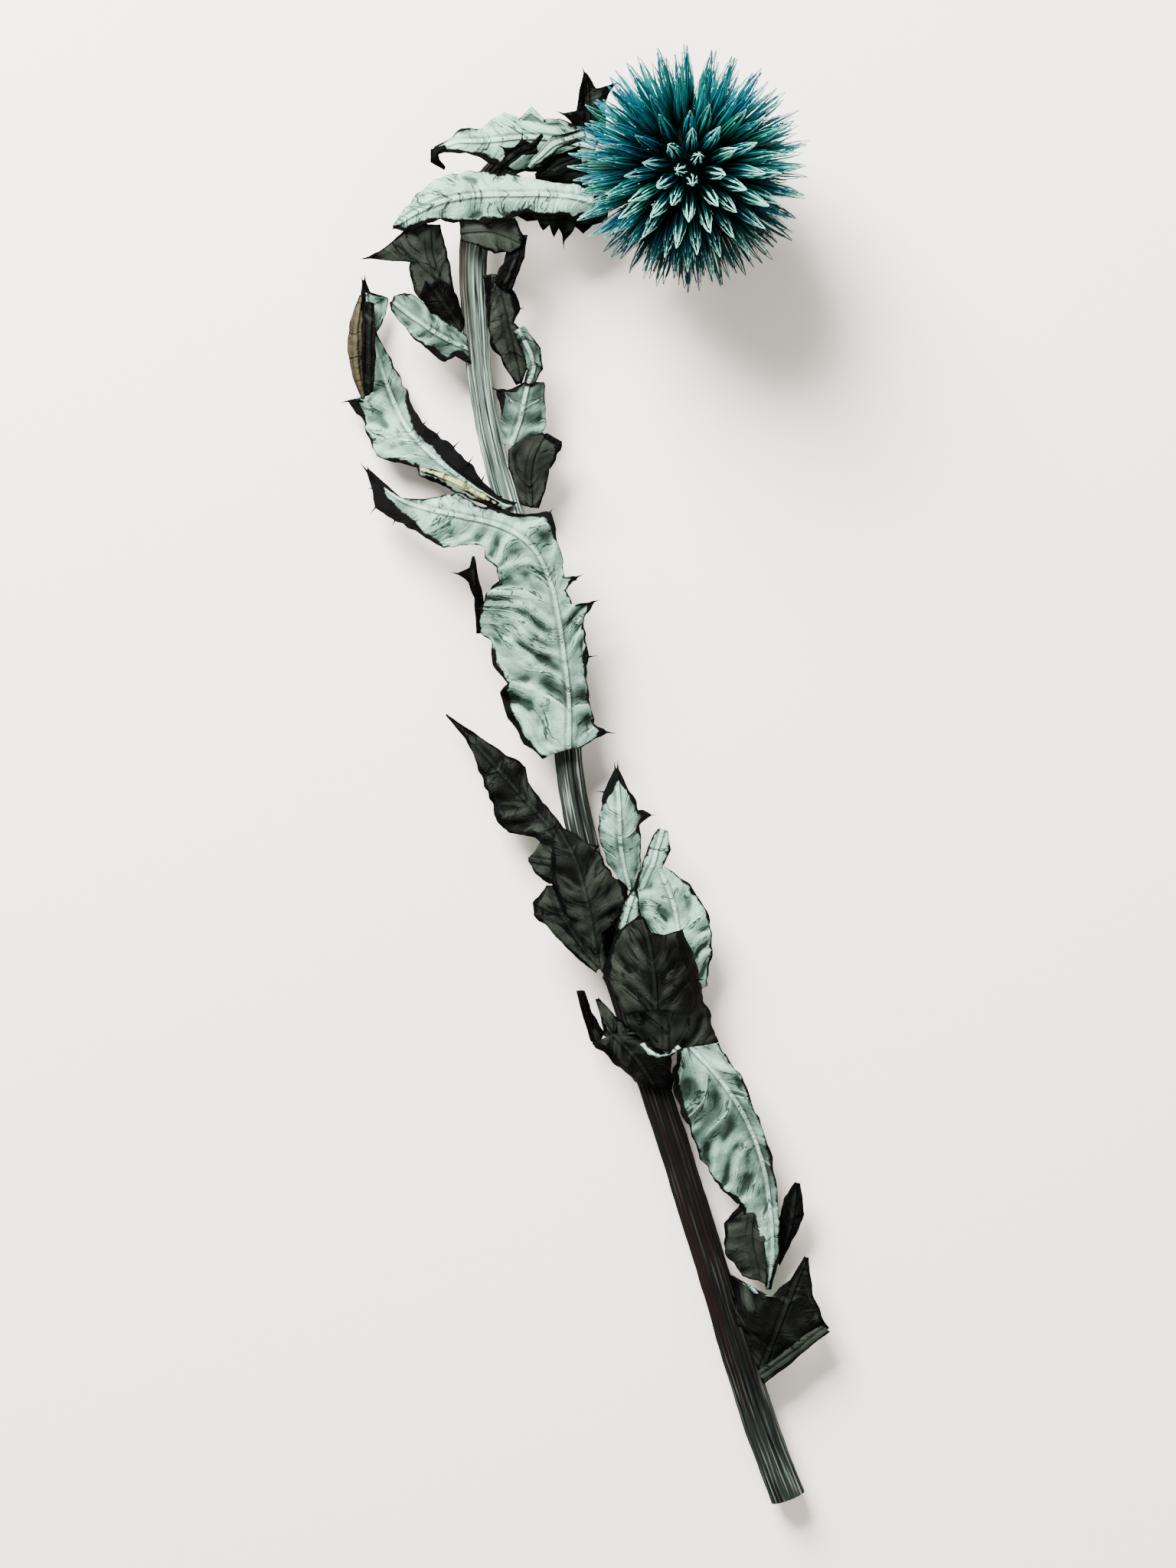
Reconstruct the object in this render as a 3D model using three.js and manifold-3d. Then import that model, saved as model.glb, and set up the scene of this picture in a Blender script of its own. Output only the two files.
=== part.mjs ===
// A dried globe thistle flower, cut with a length of leafy stem and lying on its back on a table.
// The stem runs along Y, its bent neck and round flower head are at the +Y end, and +Z is up.
// Millimetres. The origin is the middle of the underside of the flower's bounding box.
import * as THREE from "three";
import Module from "manifold-3d";

const wasm = await Module();
wasm.setup();

// ---------------------------------------------------------------- driving dimensions

const HEAD_RADIUS = 17.6; // to the tips of the florets
const RECEPTACLE_RADIUS = 4.5; // the swollen end of the stem that carries the florets
const GAP = 0.3; // between solids that touch in the real flower
const NECK_RADIUS = 1.5;
const NECK_FOOT = 0.85; // of the head's radius, from its centre, where the neck reaches the florets
const STEM_TOP_RADIUS = 1.8; // just below the neck
const STEM_CUT_RADIUS = 2.55; // at the cut end
const LEAF_THICKNESS = 0.55;

// Florets stand on the receptacle at even spacing, in spirals that run from its apex to the neck.
const FLORETS = 240; // if they covered the whole ball
const SPIRALS = 13;
const HIP_AT = 11.5; // distance from the head's centre at which a floret is widest
const PRESSED = 0.12; // how far florets of one spiral press into each other at the hips
const BARE_ANGLE = THREE.MathUtils.degToRad(27); // half the cone left bare round the neck

const HEAD_CENTRE = new THREE.Vector3(0, 0, HEAD_RADIUS);
const NECK_DIRECTION = new THREE.Vector3(-0.8, 0.1, -0.59).normalize(); // from the head's centre

// The centre line of the stem, from the cut end to where the neck starts to bend.
const STEM_LINE = [
  [14.7, -190, 2.65],
  [9.6, -176, 2.8],
  [-0.2, -144.2, 3.0],
  [-10.3, -112.6, 3.4],
  [-16.3, -89, 3.7],
  [-18.7, -69, 3.9],
  [-25.3, -48, 4.2],
  [-29.2, -32.6, 4.4],
  [-30.8, -16.5, 4.6],
  [-30.7, -8.5, 4.6],
];
// The neck turns over towards the head and rises to it.
const NECK_LINE = [
  [-29.4, -1.4, 4.6],
  [-25.2, 3.2, 4.8],
  [-19.2, 3.4, 5.8],
];

// Each leaf: which face is up, its midrib from the stem to the tip, and the half width of its blade on the
// left and on the right of each of those points. Then, in degrees: the angle at which both halves rise from
// the midrib, how much further they curl over their width, and how far the whole blade is turned about the
// midrib so that its right side lifts.
const LEAVES = [
  {
    name: "neck_leaf",
    face: "pale",
    midrib: [
      [-18.6, -1.6, 10.6],
      [-24, -2.6, 12.2],
      [-30.5, -2.8, 12.2],
      [-36.5, -4.2, 10.6],
      [-42, -7, 8.4],
    ],
    left: [2.6, 4.2, 3.8, 2.6, 0.3],
    right: [2.6, 3.4, 3.6, 2.2, 0.3],
    rise: -10,
    curl: -22,
    turn: 0,
  },
  {
    name: "neck_crest_leaf",
    face: "pale",
    midrib: [[-18.4, 5, 9.2], [-22.6, 6, 10], [-28.2, 6.2, 9.8], [-33, 4.8, 9], [-36.6, 3.8, 8.2]],
    left: [2.2, 3.0, 3.0, 1.8, 0.3],
    right: [2.6, 4.0, 4.2, 2.4, 0.3],
    rise: -6,
    curl: -20,
    turn: 0,
  },
  {
    name: "neck_bract",
    face: "dark",
    midrib: [[-18.6, -3.4, 6.6], [-19.6, -6.4, 6.4], [-18.6, -10, 5.6]],
    left: [1.6, 2.8, 0.3],
    right: [1.6, 2.6, 0.3],
    rise: 10,
    curl: 20,
    turn: 0,
  },
  {
    name: "back_leaf",
    face: "dark",
    midrib: [[-18, 6.4, 4.2], [-15.6, 10.6, 4.4], [-15, 16.4, 5.6]],
    left: [1.4, 3.2, 0.3],
    right: [1.4, 3.2, 0.3],
    rise: 8,
    curl: 10,
    turn: 0,
  },
  {
    name: "left_cup_leaf",
    face: "pale",
    midrib: [[-33.4, -25.6, 4.6], [-37.6, -21, 5.6], [-39, -14.6, 6.8], [-37.8, -8.4, 7.2]],
    left: [1.4, 3.8, 6.8, 3.2],
    right: [1.0, 3.4, 4.2, 3.2],
    rise: 8,
    curl: 24,
    turn: 0,
  },
  {
    name: "right_hanging_leaf",
    face: "dark",
    midrib: [
      [-26.2, -6.6, 7.6],
      [-25.6, -12.5, 7.8],
      [-25.2, -18.5, 7.2],
      [-23.6, -24.5, 6.4],
      [-22.6, -29.4, 6],
    ],
    left: [1.6, 3.4, 2.8, 2.8, 0.6],
    right: [1.6, 3.2, 2.8, 2.8, 0.8],
    rise: 10,
    curl: 24,
    turn: 0,
  },
  {
    name: "right_folded_leaf",
    face: "dark",
    midrib: [[-22.4, -46, 4.4], [-21.4, -41.5, 4.8], [-22.4, -36, 5.2], [-24.2, -30.6, 4.6]],
    left: [1.0, 3.4, 3.0, 0.8],
    right: [1.2, 3.6, 3.2, 0.8],
    rise: 8,
    curl: 10,
    turn: 0,
  },
  {
    name: "left_curved_leaf",
    face: "pale",
    midrib: [
      [-28.6, -46.8, 5.6],
      [-32.8, -42, 4.6],
      [-38.8, -36.8, 2.4],
      [-43.8, -30.4, 0.9],
      [-46.4, -23.9, 0.7],
      [-47.4, -17.6, 1.9],
      [-46.8, -12.6, 4],
    ],
    left: [1.2, 2.4, 4.4, 4.6, 2.6, 1.8, 0.3],
    right: [1.0, 1.8, 3.2, 3.4, 2.8, 2.0, 0.3],
    rise: 4,
    curl: 10,
    turn: 8,
  },
  {
    name: "clasping_leaf",
    face: "pale",
    midrib: [
      [-17.6, -82, 7.2],
      [-19.8, -72, 7.6],
      [-21.6, -62, 8.2],
      [-25.4, -53.6, 9.3],
      [-33, -48.8, 8.8],
      [-40, -45.8, 6.8],
      [-46.6, -41, 4.6],
    ],
    left: [2.4, 6.4, 8.2, 5.2, 4.6, 3.6, 0.3],
    right: [2.2, 5.0, 5.6, 5.4, 3.4, 2.2, 0.3],
    rise: -12,
    curl: -26,
    turn: 0,
  },
  {
    name: "dark_left_leaf",
    face: "dark",
    midrib: [
      [-11.6, -112.6, 7.2],
      [-14, -105, 7.8],
      [-17, -97.5, 7.6],
      [-22, -90.5, 6.2],
      [-28, -84, 4.2],
      [-34.8, -76.2, 2.8],
    ],
    left: [2.0, 6.8, 4.8, 5.2, 4.2, 0.3],
    right: [1.6, 3.8, 3.4, 3.6, 3.4, 0.3],
    rise: -6,
    curl: -12,
    turn: 0,
  },
  {
    name: "pale_right_leaf",
    face: "pale",
    midrib: [
      [-4, -119.8, 4.6],
      [-0.6, -113, 4.4],
      [-1.6, -105.4, 4.8],
      [-5.6, -98.6, 5.2],
      [-8.6, -91.6, 5.6],
      [-10.4, -84.2, 6.6],
    ],
    left: [0.8, 2.4, 3.2, 3.0, 3.4, 0.3],
    right: [0.8, 4.4, 4.8, 4.2, 3.2, 0.3],
    rise: 6,
    curl: -16,
    turn: 0,
  },
  {
    name: "dark_clasping_leaf",
    face: "dark",
    midrib: [[-5.6, -125, 6.6], [-4.6, -117.6, 8.2], [-4.4, -111, 8.8], [-3.6, -104.8, 9.4]],
    left: [2.2, 4.8, 5.4, 3.2],
    right: [2.4, 5.8, 6.0, 3.0],
    rise: -6,
    curl: -20,
    turn: 0,
  },
  {
    name: "left_bract",
    face: "dark",
    midrib: [[-9.2, -129.4, 3.4], [-12.2, -124, 3.8], [-15.8, -116.2, 5]],
    left: [1.4, 2.6, 0.3],
    right: [1.0, 2.0, 0.3],
    rise: 8,
    curl: 16,
    turn: 0,
  },
  {
    name: "long_pale_leaf",
    face: "pale",
    midrib: [
      [2.6, -120.8, 5.4],
      [5.8, -129.2, 5.6],
      [9, -137, 5.2],
      [10.8, -145, 4.6],
      [11.8, -153.6, 3.8],
      [11.2, -160.8, 2.6],
    ],
    left: [1.0, 2.8, 3.6, 4.6, 4.4, 0.3],
    right: [1.0, 8.0, 8.0, 7.0, 6.4, 0.3],
    rise: -4,
    curl: -14,
    turn: 0,
  },
  {
    name: "dark_low_leaf",
    face: "dark",
    midrib: [[11.8, -171.4, 3.2], [14.6, -166.8, 3.8], [18.4, -160.6, 3.4]],
    left: [1.4, 5.2, 2.6],
    right: [1.4, 4.6, 2.6],
    rise: 6,
    curl: 16,
    turn: 0,
  },
];

// ---------------------------------------------------------------- materials

const material = (color, roughness) => new THREE.MeshStandardMaterial({ color, roughness, metalness: 0 });
const STEM_SKIN = material(0x6d7a6c, 0.85);
const FLORET_TEAL = material(0x16787c, 0.7);
const LEAF_FACES = { pale: material(0xb4cabf, 0.9), dark: material(0x2b332c, 0.7) };

// ---------------------------------------------------------------- meshes from points

// A closed geometry from vertices, as THREE.Vector3, and triangles.
function closedGeometry(vertices, triangles) {
  const positions = vertices.flatMap((v) => v.toArray());
  const geometry = new THREE.BufferGeometry();
  geometry.setAttribute("position", new THREE.Float32BufferAttribute(positions, 3));
  geometry.setIndex(triangles.flat());
  geometry.computeVertexNormals();
  return geometry;
}

// Joins closed geometries that overlap into one solid.
function joined(geometries) {
  const solids = geometries.map(
    (g) =>
      new wasm.Manifold(
        new wasm.Mesh({
          numProp: 3,
          vertProperties: new Float32Array(g.getAttribute("position").array),
          triVerts: new Uint32Array(g.index.array),
        }),
      ),
  );
  const mesh = solids.reduce((whole, next) => whole.add(next)).getMesh();
  const geometry = new THREE.BufferGeometry();
  geometry.setAttribute("position", new THREE.Float32BufferAttribute(mesh.vertProperties, 3));
  geometry.setIndex(Array.from(mesh.triVerts));
  geometry.computeVertexNormals();
  return geometry;
}

// A closed skin over rings of equally many points, ending in flats.
function skinOverRings(rings) {
  const sides = rings[0].length;
  const vertices = rings.flat();
  const triangles = [];
  for (let r = 0; r + 1 < rings.length; r++) {
    for (let s = 0; s < sides; s++) {
      const a = r * sides + s;
      const b = r * sides + ((s + 1) % sides);
      triangles.push([a, b, b + sides], [a, b + sides, a + sides]);
    }
  }
  const last = (rings.length - 1) * sides;
  for (let s = 1; s + 1 < sides; s++) {
    triangles.push([0, s + 1, s], [last, last + s, last + s + 1]);
  }
  return closedGeometry(vertices, triangles);
}

// ---------------------------------------------------------------- stem, neck and receptacle

const STEM_SIDES = 10;
const STEM_STEPS = 34;
const NECK_STARTS = 0.84; // of the way along the stem
const RECEPTACLE_STEPS = 6;
const POLE_RADIUS = 0.4; // of the small flat that closes the receptacle's apex

function stemRadius(along) {
  if (along < NECK_STARTS) {
    return THREE.MathUtils.lerp(STEM_CUT_RADIUS, STEM_TOP_RADIUS, along / NECK_STARTS);
  }
  return THREE.MathUtils.lerp(STEM_TOP_RADIUS, NECK_RADIUS, (along - NECK_STARTS) / (1 - NECK_STARTS));
}

function stemGeometry() {
  const neckFoot = HEAD_CENTRE.clone().addScaledVector(NECK_DIRECTION, HEAD_RADIUS * NECK_FOOT);
  const neckTop = HEAD_CENTRE.clone().addScaledVector(NECK_DIRECTION, RECEPTACLE_RADIUS);
  const points = [...STEM_LINE, ...NECK_LINE].map((p) => new THREE.Vector3(...p));
  const line = new THREE.CatmullRomCurve3([...points, neckFoot, neckTop], false, "centripetal");
  const frames = line.computeFrenetFrames(STEM_STEPS);
  const ring = (centre, radius, i) =>
    Array.from({ length: STEM_SIDES }, (_, s) => {
      const turn = (2 * Math.PI * s) / STEM_SIDES;
      return centre
        .clone()
        .addScaledVector(frames.normals[i], radius * Math.cos(turn))
        .addScaledVector(frames.binormals[i], radius * Math.sin(turn));
    });
  const rings = [];
  for (let i = 0; i < STEM_STEPS; i++) {
    const along = i / STEM_STEPS;
    rings.push(ring(line.getPointAt(along), stemRadius(along), i));
  }
  // The receptacle is a ball whose lower pole is swallowed by the neck.
  const swallowed = Math.asin(NECK_RADIUS / RECEPTACLE_RADIUS);
  const pole = Math.PI - Math.asin(POLE_RADIUS / RECEPTACLE_RADIUS);
  for (let i = 0; i <= RECEPTACLE_STEPS; i++) {
    const polar = THREE.MathUtils.lerp(swallowed, pole, i / RECEPTACLE_STEPS);
    const centre = HEAD_CENTRE.clone().addScaledVector(NECK_DIRECTION, RECEPTACLE_RADIUS * Math.cos(polar));
    rings.push(ring(centre, RECEPTACLE_RADIUS * Math.sin(polar), STEM_STEPS));
  }
  return skinOverRings(rings);
}

// ---------------------------------------------------------------- florets

const GOLDEN_ANGLE = Math.PI * (3 - Math.sqrt(5));
const APEX = NECK_DIRECTION.clone().negate();
const FLORET_SPACING = Math.sqrt((4 * Math.PI) / FLORETS); // the angle between neighbours
const NEIGHBOUR_ANGLE = 2.4 * FLORET_SPACING; // florets further off never touch
const SHORTEST_SIDE = 0.5; // of the polygon round a floret's hips
const REACH = 4; // from a floret's axis, beyond its neighbours on every side

// Directions from the head's centre, evenly spread, in order from the apex to the neck.
function floretDirections() {
  const toHead = new THREE.Quaternion().setFromUnitVectors(new THREE.Vector3(0, 1, 0), APEX);
  return Array.from({ length: FLORETS }, (_, i) => {
    const polar = Math.acos(1 - (2 * i + 1) / FLORETS);
    return new THREE.Vector3().setFromSphericalCoords(1, polar, i * GOLDEN_ANGLE).applyQuaternion(toHead);
  });
}

// The florets nearest the apex are one group, and each spiral below them is another.
function groupOf(i) {
  return i < SPIRALS ? 0 : 1 + (i % SPIRALS);
}

// What is left of a convex polygon on the near side of the line at this distance along a direction.
function clipped(polygon, direction, distance) {
  const kept = [];
  polygon.forEach((a, i) => {
    const b = polygon[(i + 1) % polygon.length];
    const [pastA, pastB] = [a.dot(direction) - distance, b.dot(direction) - distance];
    if (pastA <= 0) kept.push(a);
    if (pastA * pastB < 0) kept.push(a.clone().lerp(b, pastA / (pastA - pastB)));
  });
  return kept;
}

// A floret fills the space between its neighbours at the hips, and tapers to its foot and its tip.
function floretGeometry(directions, i) {
  const outward = directions[i];
  const across = new THREE.Vector3().crossVectors(outward, APEX).normalize();
  const along = new THREE.Vector3().crossVectors(outward, across);
  let cell = [[-1, -1], [1, -1], [1, 1], [-1, 1]].map(([x, y]) => new THREE.Vector2(x * REACH, y * REACH));
  directions.forEach((other, j) => {
    const angle = outward.angleTo(other);
    if (j === i || angle > NEIGHBOUR_ANGLE) return;
    const side = groupOf(i) === groupOf(j) ? PRESSED : -GAP / 2;
    const towards = new THREE.Vector2(other.dot(across), other.dot(along)).normalize();
    cell = clipped(cell, towards, HIP_AT * Math.tan(angle / 2) + side);
  });
  cell = cell.filter((p, k) => p.distanceTo(cell[(k + 1) % cell.length]) > SHORTEST_SIDE);
  const pointAt = (distance) => HEAD_CENTRE.clone().addScaledVector(outward, distance);
  const hips = cell.map((p) => pointAt(HIP_AT).addScaledVector(across, p.x).addScaledVector(along, p.y));
  const triangles = cell.flatMap((_, k) => {
    const next = (k + 1) % cell.length;
    return [[k, next, cell.length], [next, k, cell.length + 1]];
  });
  return closedGeometry([...hips, pointAt(HEAD_RADIUS), pointAt(RECEPTACLE_RADIUS + GAP)], triangles);
}

function floretGroups() {
  const directions = floretDirections();
  const groups = Array.from({ length: SPIRALS + 1 }, () => []);
  directions.forEach((outward, i) => {
    if (outward.angleTo(NECK_DIRECTION) > BARE_ANGLE) groups[groupOf(i)].push(floretGeometry(directions, i));
  });
  return groups.map(joined);
}

// ---------------------------------------------------------------- leaves

const LOBE_DIP = 0.3; // of the half width, halfway between two lobes of the margin
const COLUMNS_PER_HALF = 2;

// The half widths of a blade's rows: those given, and a dip of the lobed margin between each two of them.
function bladeWidths(widths) {
  return widths.flatMap((w, i) => (i === 0 ? [w] : [((widths[i - 1] + w) / 2) * (1 - LOBE_DIP), w]));
}

function leafGeometry({ midrib, left, right, rise, curl, turn }) {
  const line = new THREE.CatmullRomCurve3(midrib.map((p) => new THREE.Vector3(...p)), false, "catmullrom");
  const [lefts, rights] = [bladeWidths(left), bladeWidths(right)];
  const rows = lefts.length - 1;
  const columns = 2 * COLUMNS_PER_HALF;
  const [riseAngle, curlAngle, turnAngle] = [rise, curl, turn].map(THREE.MathUtils.degToRad);
  const top = [];
  const bottom = [];
  for (let r = 0; r <= rows; r++) {
    const forward = line.getTangent(r / rows);
    const up = new THREE.Vector3(0, 0, 1).projectOnPlane(forward).normalize();
    up.applyAxisAngle(forward, -turnAngle);
    const side = new THREE.Vector3().crossVectors(forward, up);
    for (let c = 0; c <= columns; c++) {
      const v = (c - COLUMNS_PER_HALF) / COLUMNS_PER_HALF; // -1 at the left margin, 1 at the right one
      const width = v < 0 ? lefts[r] : rights[r];
      const angle = riseAngle + curlAngle * Math.abs(v);
      const across = ((Math.sin(angle) - Math.sin(riseAngle)) * width) / curlAngle;
      const lift = ((Math.cos(riseAngle) - Math.cos(angle)) * width) / curlAngle;
      const point = line
        .getPoint(r / rows)
        .addScaledVector(side, Math.sign(v) * across)
        .addScaledVector(up, lift);
      const lean = v === 0 ? 0 : angle;
      const normal = up
        .clone()
        .multiplyScalar(Math.cos(lean))
        .addScaledVector(side, -Math.sign(v) * Math.sin(lean));
      top.push(point.clone().addScaledVector(normal, LEAF_THICKNESS / 2));
      bottom.push(point.clone().addScaledVector(normal, -LEAF_THICKNESS / 2));
    }
  }
  const triangles = [];
  const under = top.length;
  const at = (r, c) => r * (columns + 1) + c;
  for (let r = 0; r < rows; r++) {
    for (let c = 0; c < columns; c++) {
      const [a, b, d, e] = [at(r, c), at(r, c + 1), at(r + 1, c + 1), at(r + 1, c)];
      triangles.push([a, b, d], [a, d, e]);
      triangles.push([under + a, under + d, under + b], [under + a, under + e, under + d]);
    }
  }
  const rim = [];
  for (let c = 0; c < columns; c++) rim.push(at(0, c));
  for (let r = 0; r < rows; r++) rim.push(at(r, columns));
  for (let c = columns; c > 0; c--) rim.push(at(rows, c));
  for (let r = rows; r > 0; r--) rim.push(at(r, 0));
  rim.forEach((a, i) => {
    const b = rim[(i + 1) % rim.length];
    triangles.push([a, under + a, under + b], [a, under + b, b]);
  });
  return closedGeometry([...top, ...bottom], triangles);
}

// ---------------------------------------------------------------- the flower

const flower = new THREE.Group();

function addPart(name, geometry, finish) {
  const mesh = new THREE.Mesh(geometry, finish);
  mesh.name = name;
  flower.add(mesh);
}

addPart("flower_stem", stemGeometry(), STEM_SKIN);
floretGroups().forEach((group, i) => {
  const name = i === 0 ? "floret_crown" : `floret_spiral_${String(i).padStart(2, "0")}`;
  addPart(name, group, FLORET_TEAL);
});
LEAVES.forEach((leaf) => addPart(leaf.name, leafGeometry(leaf), LEAF_FACES[leaf.face]));

// Stand the flower on the origin.
const box = new THREE.Box3().setFromObject(flower);
const middle = box.getCenter(new THREE.Vector3());
flower.position.set(-middle.x, -middle.y, -box.min.z);

export default flower;
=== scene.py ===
import math
from functools import partial

import bmesh
import bpy
import numpy as np
from bpy.props import FloatProperty, FloatVectorProperty, IntProperty, PointerProperty
from mathutils import Matrix, Vector, noise


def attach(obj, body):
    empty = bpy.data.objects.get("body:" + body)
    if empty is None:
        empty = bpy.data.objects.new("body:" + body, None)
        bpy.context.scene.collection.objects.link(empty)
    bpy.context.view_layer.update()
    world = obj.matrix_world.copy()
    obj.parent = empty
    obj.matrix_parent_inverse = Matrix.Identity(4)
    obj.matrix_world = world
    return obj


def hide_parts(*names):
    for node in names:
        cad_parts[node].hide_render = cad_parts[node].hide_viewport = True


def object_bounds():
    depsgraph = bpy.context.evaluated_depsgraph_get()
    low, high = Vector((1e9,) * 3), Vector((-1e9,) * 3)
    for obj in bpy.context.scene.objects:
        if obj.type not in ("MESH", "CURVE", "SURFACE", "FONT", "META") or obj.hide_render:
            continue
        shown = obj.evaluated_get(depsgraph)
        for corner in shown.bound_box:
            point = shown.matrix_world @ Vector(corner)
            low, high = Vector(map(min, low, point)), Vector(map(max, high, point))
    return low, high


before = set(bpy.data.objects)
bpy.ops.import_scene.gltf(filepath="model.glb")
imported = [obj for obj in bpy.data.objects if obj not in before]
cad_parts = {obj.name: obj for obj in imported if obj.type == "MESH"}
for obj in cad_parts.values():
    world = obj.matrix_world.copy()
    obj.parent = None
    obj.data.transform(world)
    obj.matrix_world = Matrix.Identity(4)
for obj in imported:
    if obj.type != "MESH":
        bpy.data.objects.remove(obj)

# A dried, dyed globe thistle with a cut length of its leafy stem, lying on its back on a table.
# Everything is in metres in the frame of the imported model. MM turns millimetres into metres.

bl_info = {
    "name": "Globe thistle",
    "version": (1, 0, 0),
    "blender": (4, 5, 0),
    "location": "3D View > Sidebar > Thistle",
    "description": "Makes the florets, stem and leaves of a dried globe thistle",
    "category": "Add Mesh",
}

MM = 0.001
CAD_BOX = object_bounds()
BODY = "root"
SPIRALS = sum(name.startswith("floret_spiral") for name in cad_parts)


# ------------------------------------------------------------------ where things are in the frame

TIPS_FROM = 0.93  # of the furthest corner's distance: further out than this, a corner is a floret's tip


def corners_of(node):
    """The points of a CAD node's mesh, one row each."""
    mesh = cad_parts[node].data
    points = np.empty(len(mesh.vertices) * 3)
    mesh.vertices.foreach_get("co", points)
    return points.reshape(-1, 3)


def ball_through(points):
    """Centre and radius of the ball that these points lie on."""
    equations = np.c_[2 * points, np.ones(len(points))]
    x = np.linalg.lstsq(equations, (points**2).sum(1), rcond=None)[0]
    return Vector(x[:3]), math.sqrt(x[3] + x[:3] @ x[:3])


def find_head():
    """The ball of the floret tips: a spiral's tips are far further out than its other corners."""
    points = np.concatenate([corners_of(n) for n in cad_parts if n.startswith("floret_")])
    middle = (points.min(0) + points.max(0)) / 2
    distance = np.linalg.norm(points - middle, axis=1)
    return ball_through(points[distance > TIPS_FROM * distance.max()])


HEAD_CENTRE, HEAD_RADIUS = find_head()


def place(x, y, z):
    """A point given in millimetres from the spot on the table that is under the head's centre."""
    return Vector((HEAD_CENTRE.x + x * MM, HEAD_CENTRE.y + y * MM, z * MM))


# ------------------------------------------------------------------ settings

def linear(hex_colour):
    """An sRGB colour such as "#1c6f73" as linear red, green, blue and alpha."""
    channels = [int(hex_colour[i:i + 2], 16) / 255 for i in (1, 3, 5)]
    return [c / 12.92 if c <= 0.04045 else ((c + 0.055) / 1.055) ** 2.4 for c in channels] + [1.0]


def colour(name, description, default):
    """A colour that a user can change."""
    return FloatVectorProperty(
        name=name, description=description, subtype="COLOR", size=4, min=0, max=1, default=linear(default)
    )


def measure(name, description, millimetres):
    """A length that a user can change."""
    return FloatProperty(name=name, description=description, subtype="DISTANCE", default=millimetres * MM)


class ThistleHeadSettings(bpy.types.PropertyGroup):
    florets: IntProperty(
        name="Florets", description="Florets that would cover the whole ball", default=240, min=80, max=400
    )
    bare_angle: FloatProperty(
        name="Bare angle", description="Half the cone left bare round the neck",
        subtype="ANGLE", default=math.radians(27),
    )
    foot: measure("Foot", "Distance from the ball's centre to a floret's foot", 4.8)
    bract_width: measure("Bract width", "Width of the widest bracts of a floret", 0.95)
    bract_thickness: measure("Bract thickness", "Thickness of a bract at its keel", 0.3)
    ruffle: measure("Ruffle", "How far the tips of bracts stray from their places", 0.2)
    # Painted shade: the near-black colour painted deep between the florets, on their feet and on the head's lower
    # side.
    shade: colour("Shaded dye", "Painted shade deep between the florets", "#000708")
    dye: colour("Dye", "Dye on the body of a bract", "#006c72")
    blue_dye: colour("Blue dye", "Dye where it took up bluer", "#00506a")
    green_dye: colour("Green dye", "Dye where it took up greener", "#006a55")
    tip: colour("Tip", "The dry, undyed tips and edges of bracts", "#93decd")
    seed: IntProperty(name="Seed", description="Seed of everything random in the head", default=7)


class ThistleLeafSettings(bpy.types.PropertyGroup):
    thickness: measure("Thickness", "Thickness of a leaf's blade", 0.26)
    crumple: measure("Crumple", "Height of the random dents of a dried blade", 0.95)
    felt: colour("Felt", "The white-felted underside", "#8fb7a5")
    # Felt shade is also the colour of the painted shade in the underside's hollows.
    felt_shade: colour("Felt shade", "The underside where it is darker: in patches, and as painted shade in its hollows", "#2e3c35")
    upper: colour("Upper side", "The upper side, dried nearly black", "#060605")
    # The upper side's ridges are painted towards this grey as a painted highlight.
    upper_grey: colour("Grey upper side", "The upper side where it is greyer: in patches, and as a painted highlight on its ridges", "#292e27")
    margin: colour("Margin", "The dried margin and its spines", "#020202")


class ThistleStemSettings(bpy.types.PropertyGroup):
    ribs: IntProperty(name="Ribs", description="Ribs round the stem", default=21, min=5, max=30)
    rib_depth: FloatProperty(
        name="Rib depth", description="Depth of the grooves, as a share of the radius", default=0.07
    )
    cut_radius: measure("Cut radius", "Radius at the cut end", 2.55)
    top_radius: measure("Top radius", "Radius just below the neck", 1.8)
    neck_radius: measure("Neck radius", "Radius of the bent neck", 1.5)


class ThistleStageSettings(bpy.types.PropertyGroup):
    floor: colour("Floor", "The plain pale floor", "#fff4e9")
    lens: FloatProperty(
        name="Lens", description="Focal length of the camera", subtype="DISTANCE_CAMERA", default=85
    )


# ------------------------------------------------------------------ small tools

PLUS, LESS, TIMES, TIMES_PLUS = ({"operation": n} for n in ("ADD", "SUBTRACT", "MULTIPLY", "MULTIPLY_ADD"))
EASED = {"interpolation_type": "SMOOTHSTEP"}
IN_COLOUR = {"data_type": "RGBA", "out": 2}
AS_VECTOR = {"data_type": "FLOAT_VECTOR"}


def add(tree, kind, *inputs, out=0, stops=None, **settings):
    """Adds a node and returns one of its outputs. Its inputs are given in their order, or as one dict by name or
    number. Each is a value, a "#hex" colour, another node's output, or None, which leaves it as it is. The settings
    are the node's own properties, and stops are the colours of a colour ramp by their positions."""
    def plain(value):
        return linear(value) if isinstance(value, str) and value.startswith("#") else value

    prefixes = ("GeometryNode", "ShaderNode", "FunctionNode")
    node = tree.nodes.new(next(p + kind for p in prefixes if hasattr(bpy.types, p + kind)))
    for name, value in settings.items():
        setattr(node, name, value)
    if stops:
        elements = node.color_ramp.elements
        while len(elements) < len(stops):
            elements.new(0.5)
        for element, (position, value) in zip(elements, stops.items()):
            element.position = position
            element.color = plain(value)
    by_name = inputs and isinstance(inputs[0], dict)
    for key, value in (inputs[0] if by_name else dict(enumerate(inputs))).items():
        if isinstance(value, bpy.types.NodeSocket):
            tree.links.new(value, node.inputs[key])
        elif value is not None:
            node.inputs[key].default_value = plain(value)
    return node.outputs[out]


def per(size):
    """The scale of a pattern whose spots are about this many millimetres wide."""
    return 1 / (size * MM)


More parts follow.
